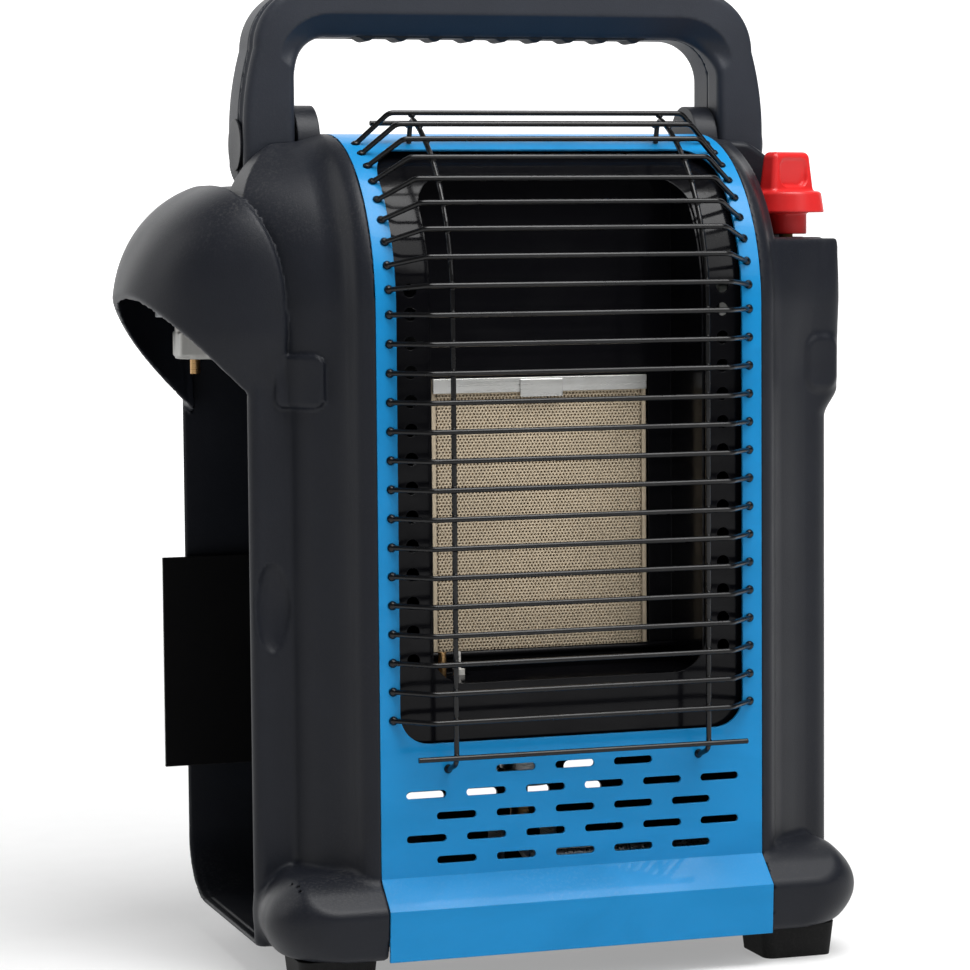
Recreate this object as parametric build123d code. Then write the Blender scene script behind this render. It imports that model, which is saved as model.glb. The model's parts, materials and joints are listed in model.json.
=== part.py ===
from build123d import *
import math
import os

# Portable propane heater: a radiant firebox between two moulded side shells, with a
# folding carrying handle on top and an open bay for a one-pound gas cylinder on the left.
# Working axes while the pieces are made: X to the right, Y to the back and Z up. The blue
# front sheet lies on y = 0, its middle on x = 0, and the feet stand on z = 0.
# export() then moves every piece so that the origin is the middle of the heater's bottom.

# ---- driving dimensions, millimetres --------------------------------------------------
panel_half = 80.0            # half width of the front sheet
panel_sheet = 1.2
front_arc = 70.0             # front sheet rolls into the top with this radius
top_z = 335.0
rear_arc = 60.0              # rear cover rolls down from the top with this radius
body_depth = 165.0
shell_wall = 2.6

opening_half = 71.8
opening_bottom = 96.5
opening_top = 328.0
opening_corner = 12.0

lip_top_z = 44.2
lip_crease = (-12.0, 33.6)   # (y, z) of the bend in the lip
lip_bottom = (-11.0, 13.6)
base_floor_z = 13.6

pod_half = 122.0             # outer face of the side pods
pod_front = 31.0
pod_back = 150.0
rim_radius = 8.0
shoulder_radius = 26.0
deck_z = 314.4               # flat behind the shoulders, under the handle arms
deck_front = 71.4
ledge_z = 292.0              # shelf that carries the control knob
ledge_inner = 94.5
ledge_back = 66.0
bulge_half = 129.0           # valve housing below the shelf

heel_radius = 28.0           # lower back corner of each pod, seen from the side
pod_corner = 4.0
pad_height = 21.0
dimple_radii = (6.5, 1.8, 13.5)
crease_x = 107.0             # the column's side meets the pod's flat front here
flare_half = 123.5           # the foot of each shell swells to this half width
flare_foot_half = 116.0
flare_z = 28.0
flare_radius = 24.0
flare_sections = 4

bay_front = 36.0
bay_back = 147.0
bay_inner = -72.0
bay_ceiling = 300.0

cylinder_x = -124.0          # axis of the gas cylinder and of the regulator
cylinder_y = 90.0
swivel_z = 278.0
nut_radius = 16.0
nut_bottom = 245.0
thread_radius = 12.7         # 1 in - 20 cylinder thread
thread_depth = 13.0
seal_radius = 11.0
seal_depth = 2.0
pilot_pin_radius = 2.0

hood_centre = (-112.0, 88.0, 259.0)
hood_radii = (51.2, 60.0, 58.0)
hood_rim_tip = (-162.0, 271.5)    # (x, z) of the lower rim, outside and inside
hood_rim_foot = (-118.0, 222.0)

pivot_y = 88.0
pivot_z = 331.0
arm_inner = 91.4
arm_outer = 112.5
arm_lean_low = 336.0         # above this height the arms lean in
arm_lean_high = 369.6
arm_lean = 4.7
arch_radius = 25.0
arch_inner_radius = 17.0
arm_half_depth = 16.0
handle_top = 394.6
bar_height = 20.0
handle_parting_y = 85.0      # the handle is moulded in a front and a rear half
grip_half = 63.0
grip_rib_count = 9
grip_rib_pitch = 14.5
under_bevel = 9.0            # bevel below the front of the bar
lug_inner = 81.5
lug_outer = 90.7
pin_radius = 4.0

wire = 2.6                   # grille wire diameter
bar_count = 24
front_bar_count = 15         # bars on the upright part; the rest climb over the top
bar_pitch = 11.25
first_bar_z = 106.4
grille_standoff = 13.0
bar_straight_half = 62.0
bar_end_half = 75.5
upright_x = 52.5
straight_wire_half = 68.4
low_wire_z = 92.4            # straight wire below the lowest bar
top_wire_y = 45.5            # straight wire behind the uppermost bar
top_wire_z = 338.6
wire_depth = 1.0             # a wire end sits this deep in the sheet's hole
weld_sink = 0.3              # crossing wires are welded this far into each other
upright_arc = 70.0           # degrees of the front's roll that an upright follows
upright_low_end = 85.5
upright_foot_lean = 3.0
upright_foot_drop = 4.2

frame_setback = 4.0          # enamel frame behind the outer skin
frame_sheet = 1.0
frame_arc = 78.0             # degrees of the front's roll that the frame follows
frame_half = 77.0
frame_lap = 6.0              # how far the frame hangs below the opening
window_half = 57.5
window_bottom = 119.0
window_top = 317.0
window_corner = 14.0
firebox_back = 40.0
vent_hole_count = 6          # round vents above the window
vent_hole_pitch = 15.5
vent_hole_radius = 2.8
side_hole_count = 14         # round vents beside the window
side_hole_x = 65.0
side_hole_radius = 2.6
first_side_hole = 2          # the lowest is level with this bar
apron_gap = 2.2
shield_half = 66.0
shield_setback = 14.0
shield_front = 44.0
shield_back = 120.0

tile_width = 92.0
tile_height = 132.0
tile_depth = 13.0
tile_front = 40.0
tile_middle_z = 178.0
tile_window_half = 46.5
tile_window_bottom = 119.5
tile_window_top = 237.0
gasket_margin = 2.0
gasket_overlap = 6.0
plenum_margin = 4.0
plenum_depth = 22.0
throat_setback = 13.0        # venturi's axis behind the tile's back
venturi_radius = 9.0
venturi_wall = 1.0
venturi_mouth_z = 71.0
venturi_mouth_height = 6.0
venturi_mouth_radius = 14.0
orifice_low = 52.0
orifice_high = 67.0

knob_x = 111.5
knob_y = 48.0
knob_radius = 15.5
knob_skirt_radius = 8.3
knob_travel = 4.0
knob_disc_low = 301.6
knob_disc_high = 309.4
knob_top = 327.0
knob_turned = 37.0           # the grip's direction at rest, degrees from X
stem_radius = 3.0
stem_low = 272.0
stem_high = 305.0
running_fit = 0.06
valve_front = 36.0
valve_back = 60.0
valve_low = 248.0
pipe_z = 36.0                # the burner tube runs across at this height

screw_radius = 1.7
screw_head_radius = 3.4
screw_head_height = 1.8

slot_length = 16.3
slot_height = 3.0
slot_pitch = 24.6
slot_row_pitch = 8.7
slot_first_z = 50.5
slot_rows = (5, 6, 5, 6, 3)  # slots in each row, lowest row first

rear_sheet = 2.0
rear_slot_length = 18.0
rear_slot_height = 5.0
rear_slot_columns = 6
rear_slot_rows = 3
pan_sheet = 2.4
pan_front = -9.0
foot_inset = 3.0
plate_outer = -133.5         # steel plate that steadies the cylinder
plate_back = 143.2
plate_sheet = 1.6
plate_low = 70.0
plate_high = 159.0

pieces = {}


# ---- small builders -------------------------------------------------------------------
def block(x0, x1, y0, y1, z0, z1):
    """Plain box between two corners."""
    middle = Pos((x0 + x1) / 2, (y0 + y1) / 2, (z0 + z1) / 2)
    return middle * Box(abs(x1 - x0), abs(y1 - y0), abs(z1 - z0))


def rod(start, end, radius):
    """Round bar from one point to another."""
    start = Vector(*start)
    along = Vector(*end) - start
    base = Plane(origin=start, z_dir=along)
    return base * Cylinder(radius, along.length, align=(Align.CENTER, Align.CENTER, Align.MIN))


def ring(start, end, outer, inner):
    """Tube or washer from one point to another."""
    return rod(start, end, outer) - rod(start, end, inner)


def side_plane(x):
    """Sketch plane seen from the right: local X is the world's Y, local Y is Z."""
    return Plane(origin=(x, 0, 0), x_dir=(0, 1, 0), z_dir=(1, 0, 0))


def front_plane(y):
    """Sketch plane seen from the front: local X is the world's X, local Y is Z."""
    return Plane(origin=(0, y, 0), x_dir=(1, 0, 0), z_dir=(0, -1, 0))


def through_x(outline, x0, x1):
    """Extrude a side outline between two values of x."""
    return extrude(side_plane(x0) * outline, amount=x1 - x0)


def through_y(outline, y0, y1):
    """Extrude a front outline between two values of y."""
    return extrude(front_plane(y1) * outline, amount=y1 - y0)


def upright(outline, z0, z1):
    """Extrude a plan outline between two heights."""
    return extrude(Pos(0, 0, z0) * outline, amount=z1 - z0)


def bent_tube(points, bend, radius):
    """Round tube along straight runs joined by equal bends."""
    path = FilletPolyline(*points, radius=bend)
    start = Plane(origin=path @ 0, z_dir=path % 0)
    return sweep(start * Circle(radius), path=path)


def mirrored(solid):
    """The same piece on the other side of the heater."""
    return mirror(solid, about=Plane.YZ)


def save(name, *solids):
    """Keep the solids of one node under its name."""
    pieces[name] = [piece for solid in solids for piece in solid.solids()]


# ---- outlines shared by several pieces ------------------------------------------------
def body_side(inset, bottom):
    """Side view of the whole body, moved inwards by an inset."""
    front_centre = (front_arc, top_z - front_arc)
    rear_centre = (body_depth - rear_arc, top_z - rear_arc)
    front_r = front_arc - inset
    rear_r = rear_arc - inset
    front_start = (inset, front_centre[1])
    front_end = (front_arc, top_z - inset)
    rear_start = (rear_centre[0], top_z - inset)
    rear_end = (body_depth - inset, rear_centre[1])
    edges = [
        Line((inset, bottom), front_start),
        CenterArc(front_centre, front_r, 90, 90),
        Line(front_end, rear_start),
        CenterArc(rear_centre, rear_r, 0, 90),
        Line(rear_end, (body_depth - inset, bottom)),
        Line((body_depth - inset, bottom), (inset, bottom)),
    ]
    return make_face(Wire(edges))


def pod_plan(inset):
    """Plan of the right side shell, open towards the middle of the heater."""
    rim = rim_radius - inset
    corner = pod_corner - inset
    crease = crease_x - inset / 2
    side = pod_half - inset
    front = pod_front + inset
    back = pod_back - inset
    rear = body_depth - inset
    edges = [
        Line((60, inset), (panel_half, inset)),
        CenterArc((panel_half, rim_radius), rim, -90, 90),
        ThreePointArc((panel_half + rim, rim_radius),
                      ((panel_half + rim + crease) / 2 + 1, (rim_radius + front) / 2 - 1),
                      (crease, front)),
        Line((crease, front), (side - corner, front)),
        CenterArc((side - corner, front + corner), corner, -90, 90),
        Line((side, front + corner), (side, back - corner)),
        CenterArc((side - corner, back - corner), corner, 0, 90),
        Line((side - corner, back), (102 - inset, back)),
        Line((102 - inset, back), (96 - inset, rear)),
        Line((96 - inset, rear), (60, rear)),
        Line((60, rear), (60, inset)),
    ]
    return make_face(Wire(edges))


def shoulder_front(inset):
    """Front view that rounds the shoulders off."""
    side = pod_half - inset
    top = top_z - inset
    radius = shoulder_radius - inset
    edges = [
        Line((50, 0), (side, 0)),
        Line((side, 0), (side, top - radius)),
        CenterArc((side - radius, top - radius), radius, 0, 90),
        Line((side - radius, top), (50, top)),
        Line((50, top), (50, 0)),
    ]
    return make_face(Wire(edges))


def flare_plan(inset, z):
    """Plan of the flared foot of a side shell at one height."""
    swell = ((z - flare_z) / (flare_z - base_floor_z)) ** 2
    side = flare_half - (flare_half - flare_foot_half) * swell
    crease_y, crease_z = lip_crease
    front = crease_y + 4 * ((crease_z - z) / (crease_z - base_floor_z)) ** 2
    centre = Vector(side - flare_radius, front + flare_radius)
    radius = flare_radius - inset

    def on_corner(angle):
        turn = math.radians(angle)
        return centre + Vector(radius * math.cos(turn), radius * math.sin(turn))

    side = pod_half - inset
    back = pod_back - inset
    rear = body_depth - inset
    edges = [
        Line((60, front + inset), (panel_half, front + inset)),
        Line((panel_half, front + inset), on_corner(-90)),
        ThreePointArc(on_corner(-90), on_corner(-68), on_corner(-45)),
        ThreePointArc(on_corner(-45), on_corner(-22), on_corner(0)),
        Line(on_corner(0), (side, bay_front)),
        Line((side, bay_front), (side, back - 3)),
        ThreePointArc((side, back - 3), (side - 0.9, back - 0.9), (side - 3, back)),
        Line((side - 3, back), (102 - inset, back)),
        Line((102 - inset, back), (96 - inset, rear)),
        Line((96 - inset, rear), (60, rear)),
        Line((60, rear), (60, front + inset)),
    ]
    return make_face(Wire(edges))


def flare_form(inset):
    """Solid of the flared foot: it swells out and tucks in again to the floor."""
    low = base_floor_z + inset
    step = (lip_crease[1] - low) / (flare_sections - 1)
    heights = [low + index * step for index in range(flare_sections)]
    plans = [Pos(0, 0, z) * flare_plan(inset, z) for z in heights]
    plans.append(Pos(0, 0, lip_top_z) * pod_plan(inset))
    return loft(plans, ruled=True)


def heel_cut(inset):
    """What the large round at the lower back corner takes off a pod."""
    z = base_floor_z + heel_radius
    y = pod_back - heel_radius
    corner = block(99, 140, y, pod_back + 20, 0, z)
    return corner - rod((90, y, z), (150, y, z), heel_radius - inset)


def side_form(inset):
    """Outer or inner surface of the right side shell as a solid."""
    plan = upright(pod_plan(inset), base_floor_z + inset, top_z)
    side = through_x(body_side(inset, base_floor_z + inset), 60, 140)
    front = through_y(shoulder_front(inset), -20, body_depth)
    form = (plan & side & front) + flare_form(inset)
    deck = block(lug_outer - inset, 140, deck_front - inset, 200, deck_z - inset, 400)
    return form - deck - heel_cut(inset)


def lug_notch(side):
    """Room for a handle lug in the rim of a side shell."""
    x0, x1 = sorted((side * (lug_inner - 0.1), side * (lug_outer + 0.1)))
    return block(x0, x1, pivot_y - arm_half_depth - 0.1, pivot_y + arm_half_depth + 0.1,
                 pivot_z - 24.1, top_z + 5)


def side_skin(extra_outer=None, extra_inner=None):
    """Hollow right-hand shell, with an optional swelling added to its side."""
    outer = side_form(0)
    inner = side_form(shell_wall)
    if extra_outer is not None:
        outer = outer + extra_outer
        inner = inner + extra_inner
    beside_panel = block(panel_half, 140, -20, 200, base_floor_z, 400)
    return ((outer - inner) & beside_panel) - lug_notch(1)


# ---- front sheet ----------------------------------------------------------------------
def panel_side():
    """Side view of the bent front sheet, from the lip over the top."""
    with BuildSketch() as sheet:
        with BuildLine():
            Polyline(lip_bottom, lip_crease, (0, lip_top_z), (0, top_z - front_arc))
            CenterArc((front_arc, top_z - front_arc), front_arc, 180, -90)
            Line((front_arc, top_z), (body_depth - rear_arc, top_z))
            offset(amount=panel_sheet, side=Side.RIGHT, kind=Kind.INTERSECTION)
        make_face()
    return sheet.sketch


def slot_places():
    """Middle of each air slot below the firebox."""
    places = []
    for row, count in enumerate(slot_rows):
        z = slot_first_z + row * slot_row_pitch
        for column in range(count):
            places.append(((column - (count - 1) / 2) * slot_pitch, z))
    return places


def bar_place(index, out):
    """(y, z) of one grille bar, a distance out from the front sheet."""
    run = first_bar_z + index * bar_pitch
    straight_end = top_z - front_arc
    if run <= straight_end:
        return -out, run
    angle = (run - straight_end) / (front_arc + grille_standoff)
    reach = front_arc + out
    return front_arc - reach * math.cos(angle), straight_end + reach * math.sin(angle)


def make_front_panel():
    sheet = through_x(panel_side(), -panel_half, panel_half)
    height = opening_top - opening_bottom
    window = Pos(0, opening_bottom + height / 2) * RectangleRounded(
        2 * opening_half, height, opening_corner)
    sheet -= through_y(window, -5, 41)
    slots = Sketch() + [Pos(x, z) * SlotOverall(slot_length, slot_height)
                        for x, z in slot_places()]
    sheet -= through_y(slots, -5, 5)
    sheet -= wire_holes()
    save("front_panel", sheet)


# ---- grille ---------------------------------------------------------------------------
def bar_corners(index):
    """Left end, left bend, right bend and right end of one grille bar."""
    middle = bar_place(index, grille_standoff)
    end = bar_place(index, -wire_depth)
    return [(-bar_end_half, *end), (-bar_straight_half, *middle),
            (bar_straight_half, *middle), (bar_end_half, *end)]


def grille_bar(index):
    """One bar: straight in the middle, its two ends bent back to the sheet."""
    corners = bar_corners(index)
    bar = rod(corners[0], corners[1], wire / 2)
    bar += rod(corners[1], corners[2], wire / 2)
    bar += rod(corners[2], corners[3], wire / 2)
    for corner in corners[1:3]:
        bar += Pos(*corner) * Sphere(wire / 2)
    return bar


def upright_ends(x):
    """Two pairs of points: the lower hook and the upper foot of a grille upright."""
    out = grille_standoff - wire + weld_sink
    straight_end = top_z - front_arc
    reach = front_arc + out
    turn = math.radians(upright_arc)
    tip = (x, front_arc - reach * math.cos(turn), straight_end + reach * math.sin(turn))
    hook = ((x, -out, low_wire_z - wire), (x, panel_sheet, upright_low_end))
    foot = (tip, (x, tip[1] + upright_foot_lean, top_z - upright_foot_drop))
    return hook, foot


def wire_holes():
    """Holes in the front sheet where every wire end is welded in."""
    holes = []
    for index in range(bar_count):
        corners = bar_corners(index)
        holes.append(rod(corners[1], corners[0], wire / 2))
        holes.append(rod(corners[2], corners[3], wire / 2))
    for x in (-upright_x, upright_x):
        for start, end in upright_ends(x):
            holes.append(rod(start, end, wire / 2))
    return holes


def make_grille():
    save("grille_front_bars", *[grille_bar(index) for index in range(front_bar_count)])
    save("grille_top_bars", *[grille_bar(index) for index in range(front_bar_count, bar_count)])
    out = grille_standoff - wire + weld_sink
    straight_end = top_z - front_arc
    arc = CenterArc((front_arc, straight_end), front_arc + out, 180, -upright_arc)
    uprights = []
    for x in (-upright_x, upright_x):
        hook, foot = upright_ends(x)
        path = side_plane(x) * arc
        hoop = sweep(Plane(origin=path @ 0, z_dir=path % 0) * Circle(wire / 2), path=path)
        upright_wire = rod(hook[0], (x, -out, straight_end), wire / 2)
        upright_wire += Pos(*hook[0]) * Sphere(wire / 2)
        upright_wire += Pos(*foot[0]) * Sphere(wire / 2)
        upright_wire += rod(*hook, wire / 2)
        upright_wire += rod(*foot, wire / 2)
        uprights.append(upright_wire + hoop)
    save("grille_uprights", *uprights)
    straight = [rod((-straight_wire_half, y, z), (straight_wire_half, y, z), wire / 2)
                for y, z in ((-grille_standoff, low_wire_z), (top_wire_y, top_wire_z))]
    save("grille_straight_wires", *straight)


# ---- enamel firebox -------------------------------------------------------------------
def frame_side(depth):
    """Side view of the enamel frame, a thin sheet that follows the front."""
    with BuildSketch() as sheet:
        with BuildLine():
            straight_end = top_z - front_arc
            Line((depth, opening_bottom - frame_lap), (depth, straight_end))
            CenterArc((front_arc, straight_end), front_arc - depth, 180, -frame_arc)
            offset(amount=frame_sheet, side=Side.RIGHT, kind=Kind.INTERSECTION)
        make_face()
    return sheet.sketch


def frame_vents():
    """Round vents above the window and in a column on each side of it."""
    vents = []
    for index in range(vent_hole_count):
        x = (index - (vent_hole_count - 1) / 2) * vent_hole_pitch
        vents.append(rod((x, 40, 315), (x, 55, 345), vent_hole_radius))
    for side in (-1, 1):
        for index in range(side_hole_count):
            y, z = bar_place(index + first_side_hole, -frame_setback)
            x = side * side_hole_x
            vents.append(rod((x, y - 6, z), (x, y + 8, z), side_hole_radius))
    return vents


def make_firebox():
    frame = through_x(frame_side(frame_setback), -frame_half, frame_half)
    height = window_top - window_bottom
    window = Pos(0, window_bottom + height / 2) * RectangleRounded(
        2 * window_half, height, window_corner)
    frame -= through_y(window, -5, 45)
    frame -= frame_vents()
    save("firebox_frame", frame)

    front = through_x(body_side(frame_setback + frame_sheet, 60), -80, 80)
    outer = block(-window_half, window_half, 0, firebox_back,
                  window_bottom - frame_sheet, window_top)
    inner = block(-window_half + frame_sheet, window_half - frame_sheet, -1,
                  firebox_back - frame_sheet, window_bottom, window_top - frame_sheet)
    cavity = (outer - inner) & front
    cavity -= block(-tile_window_half, tile_window_half, 30, 45,
                    tile_window_bottom, tile_window_top)
    cavity -= block(-55, -34, 27.5, 35.5, 117, 121)
    save("reflector", cavity)

    foot = (frame_setback + frame_sheet + 0.2, opening_bottom - frame_lap + 1)
    head = (26, window_bottom - apron_gap)
    with BuildSketch() as sheet:
        with BuildLine():
            Line(foot, head)
            offset(amount=frame_sheet, side=Side.RIGHT, kind=Kind.INTERSECTION)
        make_face()
    save("firebox_apron", through_x(sheet.sketch, -window_half, window_half))

    shield = through_x(body_side(shield_setback, 250), -shield_half, shield_half)
    shield -= through_x(body_side(shield_setback + 1, 200), -80, 80)
    shield &= block(-shield_half, shield_half, shield_front, shield_back, 290, 330)
    save("top_heat_shield", shield)


# ---- burner ---------------------------------------------------------------------------
def make_burner():
    low = tile_middle_z - tile_height / 2
    high = tile_middle_z + tile_height / 2
    half = tile_width / 2
    back = tile_front + tile_depth
    save("burner_tile", block(-half, half, tile_front, back, low, high))
    gasket = block(-half - gasket_margin, half + gasket_margin, back, back + 2,
                   low - gasket_margin, high + gasket_margin)
    gasket -= block(-half + gasket_overlap, half - gasket_overlap, back - 1, back + 3,
                    low + gasket_overlap, high - gasket_overlap)
    save("tile_gasket", gasket)

    front = back + 2
    rear = front + plenum_depth
    margin = plenum_margin
    skin = margin - 1
    throat_y = back + throat_setback
    plenum = block(-half - margin, half + margin, front, rear, low - margin, high + margin)
    plenum -= block(-half - skin, half + skin, front - 1, rear - 1, low - skin, high + skin)
    plenum -= rod((0, throat_y, low - 8), (0, throat_y, low), venturi_radius)
    rim = block(-half - margin, half + margin, front, front + 1, low - margin, high + margin)
    rim -= block(-half + margin, half - margin, front - 1, front + 2, low + margin, high - margin)
    save("burner_plenum", plenum + rim)

    bore = venturi_radius - venturi_wall
    mouth_top = venturi_mouth_z + venturi_mouth_height / 2
    mouth = Pos(0, throat_y, venturi_mouth_z) * (
        Cone(venturi_mouth_radius, venturi_radius, venturi_mouth_height)
        - Cone(venturi_mouth_radius - venturi_wall, bore, venturi_mouth_height + 0.2))
    neck = ring((0, throat_y, mouth_top), (0, throat_y, low - 2), venturi_radius, bore)
    save("venturi_tube", neck + mouth)

    shoulder = orifice_low + 10
    orifice = rod((0, throat_y, orifice_low), (0, throat_y, shoulder), 5)
    orifice += rod((0, throat_y, shoulder), (0, throat_y, orifice_high), 2.5)
    orifice -= rod((0, throat_y, orifice_low + 1), (0, throat_y, orifice_high + 1), 0.8)
    save("gas_orifice", orifice)

    leg = 12.0
    depth = 9.0
    sheet = 1.2
    foot_z = base_floor_z + pan_sheet + 0.2
    bracket = block(-leg, leg, throat_y - depth, throat_y + depth, orifice_low - sheet, orifice_low)
    for side in (-1, 1):
        x0, x1 = sorted((side * leg, side * (leg - sheet)))
        bracket += block(x0, x1, throat_y - depth, throat_y + depth, foot_z, orifice_low - 1)
    bracket -= rod((0, throat_y, 48), (0, throat_y, 55), 3)
    bracket -= rod((0, throat_y, pipe_z), (20, throat_y, pipe_z), 3.2)
    save("orifice_bracket", bracket)

    strip = block(-half + 0.5, half - 0.5, 38, 38.9, tile_window_top - 6, tile_window_top - 0.2)
    clip = block(-9, 9, 37.2, 38, tile_window_top - 8, tile_window_top - 1)
    save("tile_retainer", strip + clip)


# ---- side shells, hood and rear -------------------------------------------------------
def boss_pad(x, z, half, front):
    """Raised rounded block over a screw boss on the front of a pod."""
    pad = Pos(x, z) * RectangleRounded(2 * half, pad_height, 4)
    return through_y(pad, front, pod_front + 1)


def left_boss_pad():
    return boss_pad(-102.2, 237.8, 9, pod_front - 4)


def bulge_form(inset):
    """Valve housing that swells out of the right shell below the knob's shelf."""
    side = bulge_half - inset
    pod = pod_half - inset
    shelf = ledge_z - inset
    outline = make_face(Wire([
        Line((96, 216), (pod, 216)),
        ThreePointArc((pod, 216), (side - 1.4, 228), (side, 243)),
        Line((side, 243), (side, shelf)),
        Line((side, shelf), (96, shelf)),
        Line((96, shelf), (96, 216)),
    ]))
    return through_y(outline, pod_front - 1.5 + inset, ledge_back + 26 - inset)


def make_right_shell():
    skin = side_skin(bulge_form(0), bulge_form(shell_wall))
    skin += boss_pad(119.6, 240, 7, pod_front - 2.5)
    wall_top = top_z - 2
    shelf_cut = block(ledge_inner, 140, -20, ledge_back, ledge_z, 400)
    shelf = block(ledge_inner - 2, bulge_half - 1, pod_front, ledge_back + 1,
                  ledge_z - shell_wall, ledge_z)
    wall = block(ledge_inner - shell_wall, ledge_inner, pod_front - 3, ledge_back,
                 ledge_z - 1, wall_top)
    back = block(ledge_inner - shell_wall, pod_half - 1, ledge_back, ledge_back + shell_wall,
                 ledge_z - 1, wall_top)
    inside = side_form(0) + bulge_form(0)
    skin = skin - shelf_cut + ((shelf + wall + back) & inside)
    skin -= rod((knob_x, knob_y, ledge_z - 6), (knob_x, knob_y, ledge_z + 2),
                knob_skirt_radius + 0.6)
    save("right_side_shell", skin)


def bay_form(grow, outer_x):
    """Space of the cylinder bay, its lower back corner rounded, grown by a wall."""
    low = base_floor_z + shell_wall - grow
    high = bay_ceiling + grow
    front = bay_front - grow
    back = bay_back + grow
    radius = heel_radius - shell_wall + grow
    outline = make_face(Wire([
        Line((front, low), (back - radius, low)),
        CenterArc((back - radius, low + radius), radius, -90, 90),
        Line((back, low + radius), (back, high)),
        Line((back, high), (front, high)),
        Line((front, high), (front, low)),
    ]))
    return through_x(outline, outer_x, bay_inner)


def make_left_shell():
    skin = mirrored(side_skin()) + left_boss_pad()
    walls = bay_form(shell_wall, -panel_half + 1) - bay_form(0, -140)
    skin = (skin + walls) - bay_form(0, -140)
    skin -= Pos(-116.3, pod_front, 150.5) * scale(Sphere(1), by=dimple_radii)
    save("left_side_shell", skin)


def hood_form(inset):
    """Domed regulator cover: a half ellipsoid on a straight oval skirt."""
    radii = [radius - inset for radius in hood_radii]
    dome = scale(Sphere(1), by=tuple(radii)) & block(-80, 80, -80, 80, 0, 80)
    skirt = extrude(Ellipse(radii[0], radii[1]), amount=-50)
    return Pos(*hood_centre) * (dome + skirt)


def make_hood():
    hood = hood_form(0) - hood_form(shell_wall)
    hood &= block(-200, -pod_half, 0, 200, 150, 340)
    tip = hood_rim_tip
    foot = hood_rim_foot
    slope = (tip[1] - foot[1]) / (tip[0] - foot[0])
    below = Polygon((-220, 100), (-100, 100), (-100, foot[1] + slope * (-100 - foot[0])),
                    (-220, tip[1] + slope * (-220 - tip[0])), align=None)
    hood -= through_y(below, -20, 200)
    swelling = Pos(*hood_centre) * scale(Sphere(1), by=hood_radii)
    hood += swelling & block(-pod_half, -crease_x, 0, pod_front, 200, 300)
    hood -= left_boss_pad()
    save("regulator_hood", hood)


def rear_screw_places():
    """(x, z) of the screws that hold the rear cover."""
    return [(side * 74, z) for side in (-1, 1) for z in (30, 150, 262)]


def make_rear_cover():
    shell = through_x(body_side(0, base_floor_z), -panel_half, panel_half)
    shell -= through_x(body_side(rear_sheet, 0), -panel_half - 1, panel_half + 1)
    shell &= block(-panel_half, panel_half, body_depth - rear_arc, body_depth + 1,
                   base_floor_z + 2, top_z + 1)
    slots = Sketch()
    for row in range(rear_slot_rows):
        for column in range(rear_slot_columns):
            x = (column - (rear_slot_columns - 1) / 2) * slot_pitch
            slots += Pos(x, 46 + row * 10) * SlotOverall(rear_slot_length, rear_slot_height)
            slots += Pos(x, 228 + row * 12) * SlotOverall(rear_slot_length, rear_slot_height)
    shell -= through_y(slots, body_depth - 5, body_depth + 5)
    for x, z in rear_screw_places():
        shell -= rod((x, body_depth - 5, z), (x, body_depth + 5, z), screw_radius)
    save("rear_cover", shell)


def make_base():
    rear = body_depth - rear_sheet - 0.2
    floor = base_floor_z
    pan = block(bay_inner, panel_half, pan_front, rear, floor, floor + pan_sheet)
    pan += block(bay_inner, panel_half, rear - 2.2, rear, floor, floor + 14)
    vents = Sketch()
    for row in range(4):
        for column in range(4):
            vents += Pos((column - 1.5) * 30, 34 + row * 22) * SlotOverall(20, 5)
    pan -= upright(vents, floor - 3, floor + 6)
    screws = []
    for x, y in ((-60, 4), (72, 4), (-50, 152), (50, 152)):
        shank = rod((x, y, floor), (x, y, floor + 7), screw_radius)
        pan -= shank
        head = rod((x, y, floor - screw_head_height), (x, y, floor), screw_head_radius)
        screws.append(shank + head)
    save("base_pan", pan)
    save("base_screws", *screws)
    feet = []
    for side in (-1, 1):
        for x0, x1, y0, y1 in ((81, 113, 0, 30), (61, 95, 100, 132)):
            middle = (side * (x0 + x1) / 2, (y0 + y1) / 2)
            top = Pos(*middle, floor) * RectangleRounded(x1 - x0, y1 - y0, 5)
            low = Pos(*middle, 0) * RectangleRounded(
                x1 - x0 - foot_inset, y1 - y0 - foot_inset, 4)
            feet.append(loft([low, top]))
    save("rubber_feet", *feet)


def make_bay():
    liner = block(bay_inner, bay_inner + 1.2, bay_front - shell_wall, bay_back + shell_wall,
                  base_floor_z + shell_wall, 255)
    save("bay_liner", liner)
    front = plate_back - plate_sheet
    plate = block(plate_outer, bay_inner, front, plate_back, plate_low, plate_high)
    plate += block(bay_inner - plate_sheet, bay_inner, 120, plate_back, plate_low, plate_high)
    plate += block(-118, -96, plate_back - 0.2, bay_back, 100, 130)
    save("cylinder_bracket", plate)


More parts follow.
